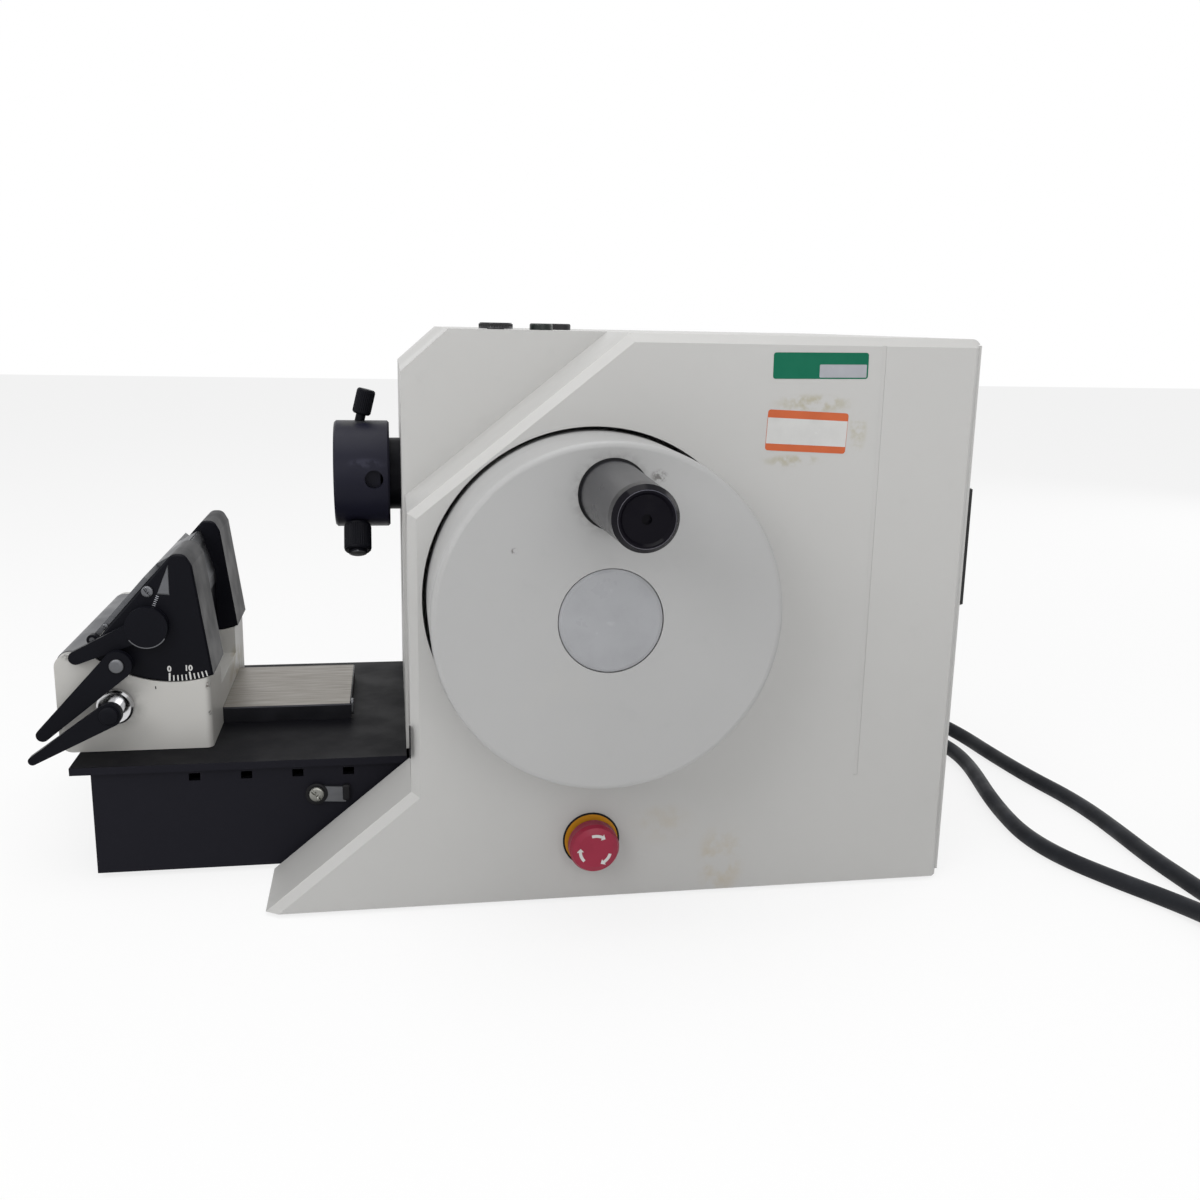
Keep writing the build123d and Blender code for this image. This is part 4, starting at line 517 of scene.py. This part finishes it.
def lathe(name, origin, direction, profile, finish, body, steps=48, wave=None,
          ring=False):
    """Turn (radius, along) points in metres about an axis.

    A wave scales the radius by the angle, and a ring is closed back to its first point.
    """
    place = axis_frame(origin, direction)
    verts = []
    for radius, along in profile:
        for i in range(steps):
            a = 2 * pi * i / steps
            reach = radius * (wave(a) if wave else 1.0)
            verts.append(place @ Vector((reach * cos(a), reach * sin(a), along)))
    rows = len(profile)
    faces = loft_faces(rows, steps)
    if ring:
        last = (rows - 1) * steps
        faces += [(last + i, last + (i + 1) % steps, (i + 1) % steps, i) for i in range(steps)]
    else:
        faces.append(tuple(reversed(range(steps))))
        faces.append(tuple((rows - 1) * steps + i for i in range(steps)))
    tidy_normals(add_mesh(name, verts, faces, finish, body, smooth=wave is None))


def ring_band(name, x, y, z, inner, outer, high, finish, body, slot_name):
    """Flat ring with softened edges, towards the handwheel side; sizes in millimetres."""
    soft = min(high, outer - inner) * 0.3
    profile = [(inner, 0), (outer, 0), (outer, high - soft), (outer - soft, high),
               (inner + soft, high), (inner, high - soft)]
    lathe(name, (x * MM, y * MM, z * MM), near_side, [(a * MM, b * MM) for a, b in profile],
          finish, body, steps=72, ring=True)


def prism(name, outline, y0, y1, finish, body, lift=0.0):
    """A flat plate from (x, z) points in millimetres, between two depths; lift rounds its front."""
    mid = [sum(v[k] for v in outline) / len(outline) for k in (0, 1)]
    rings = [(y1, 1.0), (y0 + lift, 1.0)]
    if lift:
        rings.append((y0, 1 - lift / max(abs(outline[0][0] - mid[0]), 1.0)))
    verts = [(MM * (mid[0] + (x - mid[0]) * k), MM * y, MM * (mid[1] + (z - mid[1]) * k))
             for y, k in rings for x, z in outline]
    count = len(outline)
    faces = [tuple(range(count)), tuple(reversed(range((len(rings) - 1) * count,
                                                        len(rings) * count)))]
    for j in range(len(rings) - 1):
        for i in range(count):
            k = (i + 1) % count
            faces.append((j * count + i, (j + 1) * count + i, (j + 1) * count + k, j * count + k))
    tidy_normals(add_mesh(name, verts, faces, finish, body))


def tidy_normals(obj):
    """Turn every face of a closed piece outwards."""
    work = bmesh.new()
    work.from_mesh(obj.data)
    bmesh.ops.recalc_face_normals(work, faces=work.faces)
    work.to_mesh(obj.data)
    work.free()


def join_prisms(name, outlines, y0, y1, finish, body):
    """Many small plates in one piece, such as the marks of a scale."""
    verts, faces = [], []
    for outline in outlines:
        start, count = len(verts), len(outline)
        verts += [(MM * x, MM * y, MM * z) for y in (y0, y1) for x, z in outline]
        faces.append(tuple(start + i for i in range(count)))
        faces.append(tuple(start + count + i for i in reversed(range(count))))
        for i in range(count):
            k = (i + 1) % count
            faces.append((start + i, start + count + i, start + count + k, start + k))
    tidy_normals(add_mesh(name, verts, faces, finish, body))


def rounded(x0, x1, z0, z1, r, tilt=0.0, steps=6):
    """Outline of a rounded rectangle, tilted about its middle, in degrees."""
    pts = []
    for cx, cz, start in ((x1 - r, z1 - r, 0), (x0 + r, z1 - r, 90), (x0 + r, z0 + r, 180),
                          (x1 - r, z0 + r, 270)):
        for i in range(steps + 1):
            a = radians(start + 90 * i / steps)
            pts.append((cx + r * cos(a), cz + r * sin(a)))
    return tilted(pts, (x0 + x1) / 2, (z0 + z1) / 2, tilt)


def tilted(pts, mx, mz, tilt):
    c, d = cos(radians(tilt)), sin(radians(tilt))
    return [(mx + (x - mx) * c - (z - mz) * d, mz + (x - mx) * d + (z - mz) * c) for x, z in pts]


def bar(x0, z0, x1, z1, wide):
    """Outline of a thin mark from one point to another."""
    way = Vector((x1 - x0, z1 - z0)).normalized() * wide / 2
    return [(x0 - way.y, z0 + way.x), (x0 + way.y, z0 - way.x), (x1 + way.y, z1 - way.x),
            (x1 - way.y, z1 + way.x)]


def arc_arrow(x, z, r, wide, start, end, head):
    """Outline of a curved arrow about a point, from one angle to another, in degrees."""
    steps = 12
    turn = [radians(start + (end - start) * i / steps) for i in range(steps + 1)]
    outer = [(x + (r + wide / 2) * cos(a), z + (r + wide / 2) * sin(a)) for a in turn]
    inner = [(x + (r - wide / 2) * cos(a), z + (r - wide / 2) * sin(a)) for a in reversed(turn)]
    last = radians(end)
    tip = radians(end + head * (1 if end > start else -1))
    point = [(x + (r + wide * 1.2) * cos(last), z + (r + wide * 1.2) * sin(last)),
             (x + r * cos(tip), z + r * sin(tip)),
             (x + (r - wide * 1.2) * cos(last), z + (r - wide * 1.2) * sin(last))]
    return outer + point + inner


def digits(name, text, x, z, high, y, finish, body):
    """Plain numerals that face the handwheel side, centred on x and standing on z."""
    numeral_share = 0.70        # a numeral's height, of the font's size
    font = bpy.data.curves.new(name + "_type", "FONT")
    font.body = text
    font.size = high / numeral_share * MM
    font.extrude = 0.00006
    font.offset = 0.00016       # makes the strokes bolder
    font.resolution_u = 4
    font.align_x = "CENTER"
    holder = bpy.data.objects.new(name + "_type", font)
    scene.collection.objects.link(holder)
    bpy.context.view_layer.update()
    mesh = bpy.data.meshes.new_from_object(holder)
    bpy.data.objects.remove(holder)
    for v in mesh.vertices:
        v.co = Vector((v.co.x + x * MM, y * MM - v.co.z, v.co.y + z * MM))
    mesh.materials.clear()
    fit_out(bpy.data.objects.new(name, mesh), finish, body)


def slotted_screw(name, x, y, z, r, finish, body, slot_name, turn, high=1.6, way=near_side):
    """Domed screw head with a milled slot, standing on a surface at its place."""
    steps = 40
    slot_half, slot_deep = r * 0.13, 0.45       # the depth is a share of the head's height
    place = axis_frame((x * MM, y * MM, z * MM), way)
    rings = [(1.0, 0.0), (1.0, 0.55), (0.93, 0.8), (0.75, 0.95), (0.5, 1.0), (0.25, 1.0)]
    c, d = cos(radians(turn)), sin(radians(turn))
    verts = []
    for share, up in rings:
        for i in range(steps):
            a = 2 * pi * (i + 0.5) / steps
            px, py = r * share * cos(a), r * share * sin(a)
            across = -px * d + py * c
            sunk = slot_deep if abs(across) < slot_half * 1.2 and up > 0.5 else 0.0
            verts.append(place @ Vector((px * MM, py * MM, high * (up - sunk) * MM)))
    faces = loft_faces(len(rings), steps)
    faces.append(tuple((len(rings) - 1) * steps + i for i in range(steps)))
    faces.append(tuple(reversed(range(steps))))
    add_mesh(name, verts, faces, finish, body)


def knurl(name, start, end, r, finish, body, ridges=36, depth=0.035):
    """Ribbed band round a knob, from one point of its axis to another; depth is a share of r."""
    start, end = Vector([v * MM for v in start]), Vector([v * MM for v in end])
    way = end - start
    long = way.length
    r = r * MM
    profile = [(r * 0.96, 0), (r, long * 0.04), (r, long * 0.96), (r * 0.96, long)]

    def wave(angle):
        return 1 + depth * 0.5 * (1 + cos(ridges * angle))

    lathe(name, start, way, profile, finish, body, steps=ridges * 6, wave=wave)


# ---- labels on the pod --------------------------------------------------------------------
# from here on, places and sizes are in millimetres; boxes are x0, x1, z0, z1
pod_y = -97.0                           # outer face of the handwheel pod
sticker_thick = 0.12
field_front, field_back = 0.16, 0.10    # a printed field, out from the pod's face
green_box, green_corner, green_tilt = (137.4, 188.4, 283.6, 296.9), 1.4, 0.6
green_field, field_corner = (162.2, 187.6, 284.4, 291.0), 0.5
prism("label_a", rounded(*green_box, green_corner, green_tilt), pod_y - sticker_thick, pod_y,
      "label_green", "machine")
prism("label_a_field", rounded(*green_field, field_corner, green_tilt), pod_y - field_front,
      pod_y - field_back, "label_grey", "machine")
orange_box, orange_corner, orange_tilt = (135.4, 179.0, 246.0, 267.0), 1.6, -2.4
orange_mid = (157.2, 256.5)
orange_field = [(135.6, 249.6), (178.8, 249.6), (178.8, 262.9), (135.6, 262.9)]
prism("label_b", rounded(*orange_box, orange_corner, orange_tilt), pod_y - sticker_thick, pod_y,
      "label_orange", "machine")
prism("label_b_field", tilted(orange_field, *orange_mid, orange_tilt), pod_y - field_front,
      pod_y - field_back, "label_white", "machine")

# ---- marks and screws on the knife holder -------------------------------------------------
ear_y = -13.6                           # near face of the near ear
edge_x, edge_z = -178.0, 174.0          # cutting edge, about which the segment tilts
mark_out, mark_in = 0.06, 0.02          # a painted mark, out from its face and into it
scale_radius, scale_start = 66.6, -92.9         # millimetres and degrees
scale_step, scale_marks = 2, 10                 # degrees between marks, and how many
long_mark, short_mark = (4.7, 0.95), (3.4, 0.72)    # length and width
ticks = []
for i in range(scale_marks):
    turn = radians(scale_start + i * scale_step)
    long, wide = long_mark if i % 5 == 0 else short_mark
    ticks.append(bar(edge_x + scale_radius * cos(turn), edge_z + scale_radius * sin(turn),
                     edge_x + (scale_radius - long) * cos(turn),
                     edge_z + (scale_radius - long) * sin(turn), wide))
join_prisms("angle_scale", ticks, ear_y - mark_out, ear_y + mark_in, "print_white", "segment")
digit_high = 3.1
for name, text, x, z in (("angle_zero", "0", -181.2, 113.1), ("angle_ten", "10", -170.8, 113.3)):
    digits(name, text, x, z, digit_high, ear_y - mark_in, "print_white", "segment")
join_prisms("angle_index", [bar(-189.2, 104.6, -189.1, 102.9, 0.6)], ear_y - mark_out,
            ear_y + mark_in, "dark_gap", "knife_holder")
# grey triangle on the near ear: a painted highlight
prism("ear_facet", [(-178.6, 174.4), (-185.6, 157.6), (-178.7, 157.2)], ear_y - 0.35, ear_y,
      "rubbed_and_highlight", "segment", lift=0.3)
hatch_count = 9
hatch = []
for i in range(hatch_count):
    t = i / (hatch_count - 1)
    x, z = -185.2 - 3.5 * t, 156.6 - 8.4 * t
    hatch.append(bar(x - 0.75, z + 0.3, x + 0.75, z - 0.3, 0.42))
thin_mark = 0.05
join_prisms("ear_hatch", hatch, ear_y - thin_mark, ear_y + mark_in, "label_grey", "segment")
slotted_screw("ear_screw", -190.3, ear_y, 159.4, 3.2, "rubbed_and_highlight", "segment", "steel", 35.0)
slotted_screw("plate_screw", -215.4, -5.6, 137.9, 1.9, "rubbed_and_highlight", "pressure_plate", "steel", 60.0,
              1.4)
lathe("segment_lever_pin", (-0.20678, -0.0255, 0.1201), near_side,
      [(0.0040, 0), (0.0040, 0.0007), (0.0034, 0.0011), (0.0015, 0.0012)], "rubbed_and_highlight",
      "segment_lever")
# lighter metal arc on the lower rim of the blade lever's boss: a painted highlight
lever_x, lever_z, rim_radius, rim_wide = -191.2, 140.0, 11.45, 0.55
rim_points = [(lever_x + rim_radius * cos(radians(a)), lever_z + rim_radius * sin(radians(a)))
              for a in range(215, 335, 8)]
rim = [bar(*start, *end, rim_wide) for start, end in zip(rim_points, rim_points[1:])]
join_prisms("blade_lever_rim", rim, -20.12, -19.6, "rubbed_and_highlight", "blade_lever")
lathe("guide_neck_cap", (-0.2109, -0.0334, 0.0941), near_side,
      [(0.0051, 0), (0.0051, 0.0006), (0.0044, 0.0011), (0.0010, 0.0012)], "anodised_black",
      "guide_lever")

# steel strip that wraps the holder's rounded top edge, from ear to ear
corner_x, corner_z, corner_r = -235.5, 117.0, 7.0
strip_out, strip_in = 0.5, 0.1          # out from the holder's surface, and into it
strip_end_x, strip_near_y, strip_far_y = -227.0, -6.0, 142.0
wrap = [radians(180 - 90 * i / 10) for i in range(11)]
outer_line = [(corner_x + (corner_r + strip_out) * cos(a),
               corner_z + (corner_r + strip_out) * sin(a)) for a in wrap]
inner_line = [(corner_x + (corner_r - strip_in) * cos(a),
               corner_z + (corner_r - strip_in) * sin(a)) for a in wrap]
strip_end = [(strip_end_x, corner_z + corner_r + strip_out),
             (strip_end_x, corner_z + corner_r - strip_in)]
prism("holder_top_strip", outer_line + strip_end + inner_line[::-1], strip_near_y, strip_far_y,
      "rubbed_and_highlight", "knife_holder")

# ---- base ---------------------------------------------------------------------------------
lock_at = (-100.8, -38.3, 45.6)
ring_band("lock_washer", *lock_at, 3.9, 6.2, 0.5, "dark_gap", "lock_tab", "black_plastic")
slotted_screw("lock_screw", *lock_at, 4.2, "screw_metal", "lock_tab", "steel", 50.0, 1.9)
prism("lock_tip", rounded(-86.4, -82.4, 41.0, 50.2, 1.2), -38.8, -36.0, "dark_gap", "lock_tab",
      lift=0.4)
prism("rail_clip", rounded(-83.2, -81.4, 69.0, 78.2, 0.6), 33.0, 38.0, "rubbed_and_highlight", "machine",
      lift=0.4)
# dark fill in the pod's slit: painted shade
prism("pod_slit", rounded(-49.1, -48.3, 85.6, 102.8, 0.3), -96.4, -93.0, "dark_gap", "machine",
      lift=0.3)

# ---- head knobs ---------------------------------------------------------------------------
head_y, head_z = 67.4, 215.2            # axis of the specimen's head
lean, swing = radians(14), radians(30)  # of the lock grip and of the clamp knob
grip_foot = Vector((-74.5, head_y, head_z + 32.8))
up = Vector((sin(lean), 0, cos(lean)))
knurl("lock_grip_ribs", grip_foot + up * 4.9, grip_foot + up * 18.6, 5.5, "anodised_black",
      "lock_grip", 30)
knob_axis = Vector((-76.7, head_y, head_z))
down = Vector((0, -sin(swing), -cos(swing)))
knurl("clamp_knob_ribs", knob_axis + down * 35.2, knob_axis + down * 50.2, 8.0,
      "anodised_black", "clamp_knob", 40)
knob_end = knob_axis + down * 52.9
lathe("clamp_knob_end", [v * MM for v in knob_end - down * 0.9], down,
      [(0.0050, 0), (0.0050, 0.0010), (0.0042, 0.0014), (0.0010, 0.0014)], "rubbed_and_highlight",
      "clamp_knob")

# ---- emergency stop -----------------------------------------------------------------------
stop_x, stop_z = 47.7, 35.6
stop_front = -112.0                     # face of the button
ring_band("stop_outline", stop_x, pod_y, stop_z, 14.5, 15.5, 0.6, "dark_gap", "machine",
          "black_plastic")
arrow_radius, arrow_wide, arrow_sweep, arrow_head = 8.2, 1.6, 40, 14    # the last two in degrees
arrows = [arc_arrow(stop_x, stop_z, arrow_radius, arrow_wide, start, start - arrow_sweep,
                    arrow_head) for start in (104, -15, 224)]
join_prisms("stop_arrows", arrows, stop_front - thin_mark, stop_front + mark_in, "print_white",
            "stop_button")

# ---- top controls -------------------------------------------------------------------------
knob_x, knob_y, knob_low, knob_top = 3.4, -6.0, 305.6, 308.0
knurl("top_knob_ribs", (knob_x, knob_y, knob_low), (knob_x, knob_y, knob_top), 9.3,
      "black_plastic", "top_knob", 40, 0.03)

# ---- grip ---------------------------------------------------------------------------------
grip_x, grip_z = 46.6, 231.5
wheel_face_y, cap_rim_y, cap_face_y = -149.0, -224.9, -223.6
# dark ring round the grip's root, on the wheel: painted shade
ring_band("grip_root_ring", grip_x, wheel_face_y, grip_z, 15.4, 17.1, 0.45, "dark_gap",
          "handwheel", "black_plastic")
ring_band("grip_cap_edge", grip_x, cap_rim_y, grip_z, 12.05, 12.4, 0.14, "dull_edge", "grip",
          "steel")
ring_band("grip_cap_bush", grip_x, cap_face_y, grip_z, 2.2, 3.0, 0.5, "glossy_black", "grip",
          "glossy_black")

# ---- rear ---------------------------------------------------------------------------------
vent_verts, vent_faces = [], []


def vent_bar(y0, y1, section):
    """Bar of the vent along Y, from its four (x, z) points."""
    start = len(vent_verts)
    for y in (y0, y1):
        vent_verts.extend((MM * x, MM * y, MM * z) for x, z in section)
    for quad in ((0, 1, 2, 3), (7, 6, 5, 4), (0, 4, 5, 1), (1, 5, 6, 2), (2, 6, 7, 3),
                 (3, 7, 4, 0)):
        vent_faces.append(tuple(start + k for k in quad))


slat_low, slat_pitch, slat_count = 165.2, 4.9, 12
frame_low, frame_high, frame_back, frame_front = 161.2, 225.8, 252.2, 255.0
for i in range(slat_count):
    z = slat_low + i * slat_pitch
    vent_bar(-87.5, -34.5, [(254.3, z), (255.2, z), (255.2, z + 0.9), (254.3, z + 3.4)])
for z in (frame_low, 222.6):
    vent_bar(-90.6, -31.4, [(frame_back, z), (frame_front, z + 0.3), (frame_front, z + 2.9),
                            (frame_back, z + 3.2)])
for y in (-91.3, -34.6):
    vent_bar(y, y + 3.4, [(frame_back, frame_low), (frame_front, 161.5), (frame_front, 225.5),
                          (frame_back, frame_high)])
tidy_normals(add_mesh("vent_slats", vent_verts, vent_faces, "black_plastic", "machine"))
panel_x = 252.0
screw_places = ((-84, 12), (-84, 150), (-84, 290), (180, 12), (180, 150), (180, 290), (48, 290),
                (48, 12))
for i, (y, z) in enumerate(screw_places):
    slotted_screw(f"panel_screw_{i}", panel_x, y, z, 3.0, "screw_metal", "machine", "steel",
                  40.0 * i, 1.2, (1, 0, 0))


# ---- leads --------------------------------------------------------------------------------
cord_radius = 0.005                 # metres, as the curve takes it
cord_z = 5.0                        # middle of a cord that lies on the bench
coil_x, coil_y = 448.0, -205.0
coil_inner, coil_outer = 50.0, 60.0
coil_step = 30                      # degrees between the points of a coil
shift_turn, rise_turn = 60, 70      # degrees over which a turn changes its radius or its layer
spread = 1 / cos(radians(coil_step / 2))    # the curve runs inside its points by this much


def ease(angle, start, end):
    """0 before the start, 1 after the end, smooth between."""
    t = min(1.0, max(0.0, (angle - start) / (end - start)))
    return t * t * (3 - 2 * t)


def coil_points(first, last, low, inward, upward, outward):
    """Turns from outer to inner in the lower layer, then inner to outer in the upper one.

    Angles are in degrees: the first and last point, and where each change begins.
    """
    points = []
    for angle in range(first, last + 1, coil_step):
        across = coil_outer - (coil_outer - coil_inner) * ease(angle, inward, inward + shift_turn)
        across += (coil_outer - coil_inner) * ease(angle, outward, outward + shift_turn)
        z = low + 2 * cord_z * ease(angle, upward, upward + rise_turn)
        reach = across * spread
        turn = radians(angle)
        points.append((coil_x + reach * cos(turn), coil_y + reach * sin(turn), z))
    return points


mains_route = [
    (301.5, 168, 17), (324.9, 168, 16.5), (347, 158.9, 13.5), (363.9, 142, 9.5),
    (373, 119.9, 6.3), (376.5, 92, cord_z), (379, 62, cord_z), (382.5, 32, cord_z),
    (388, 2, cord_z), (390, -28, cord_z), (389, -60, cord_z), (387, -95, cord_z),
    (388, -128, cord_z), (389, -156, cord_z), (387, -184, cord_z),
]
control_route = [
    (281.5, 138, 17), (304.5, 138, 16.5), (325.8, 129.2, 13.5), (342.2, 112.8, 9.5),
    (350.5, 91.5, 6.3), (350, 68.5, cord_z), (344.5, 42, cord_z), (337, 12, cord_z),
    (330.5, -22, cord_z), (327, -56, cord_z), (332.5, -88, cord_z), (347, -119, cord_z),
    (364, -149, cord_z), (373.5, -180, 7),
]
mains_tail = [(508, -186, 15), (509.5, -172, 14), (513, -158, 12.5), (517, -145, 11.3),
              (519, -131, 11)]
control_tail = [(507, -194, 35), (505, -178, 33), (500, -160, 28), (494, -142, 21),
                (489, -125, 14), (488, -110, 11)]


def climb_points():
    """Round the outside of the lower coil and up onto it."""
    points = []
    for i, angle in enumerate((186, 219, 252, 285, 318)):
        reach = 74.5 if i < 4 else 71.0
        z = 7 + 19 * min(1.0, i / 3)
        turn = radians(angle)
        points.append((coil_x + reach * cos(turn), coil_y + reach * sin(turn), z))
    return points


def cord_curve(name, points):
    """Round cord along a smooth curve near its points."""
    curve = bpy.data.curves.new(name, "CURVE")
    curve.dimensions = "3D"
    curve.bevel_depth = cord_radius
    curve.bevel_resolution = 6
    curve.resolution_u = 6
    curve.use_fill_caps = True
    spline = curve.splines.new("NURBS")
    spline.points.add(len(points) - 1)
    for p, q in zip(spline.points, points):
        p.co = (q[0] * MM, q[1] * MM, q[2] * MM, 1)
    spline.order_u = 3
    spline.use_endpoint_u = True
    return fit_out(bpy.data.objects.new(name, curve), "cord_black", "machine")


def line_length(obj):
    """Length of a cord's own centreline, in metres."""
    line = obj.data.copy()
    line.bevel_depth = 0
    line_obj = bpy.data.objects.new("measure", line)
    scene.collection.objects.link(line_obj)
    bpy.context.view_layer.update()
    mesh = bpy.data.meshes.new_from_object(line_obj)
    total = 0.0
    for edge in mesh.edges:
        a, b = (mesh.vertices[i].co for i in edge.vertices)
        total += (a - b).length
    bpy.data.objects.remove(line_obj)
    bpy.data.meshes.remove(mesh)
    bpy.data.curves.remove(line)
    return total


mains_points = mains_route + coil_points(210, 1410, cord_z, 440, 760, 1080) + mains_tail
control_points = (control_route + climb_points() +
                  coil_points(360, 1410, 5 * cord_z, 630, 950, 1270) + control_tail)
mains_cord = cord_curve("mains_cord", mains_points)
control_cord = cord_curve("control_cord", control_points)
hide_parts("mains_lead", "mains_coil")
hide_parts("control_lead", "control_coil")
round(line_length(mains_cord), 3)
round(line_length(control_cord), 3)

bpy.context.view_layer.update()
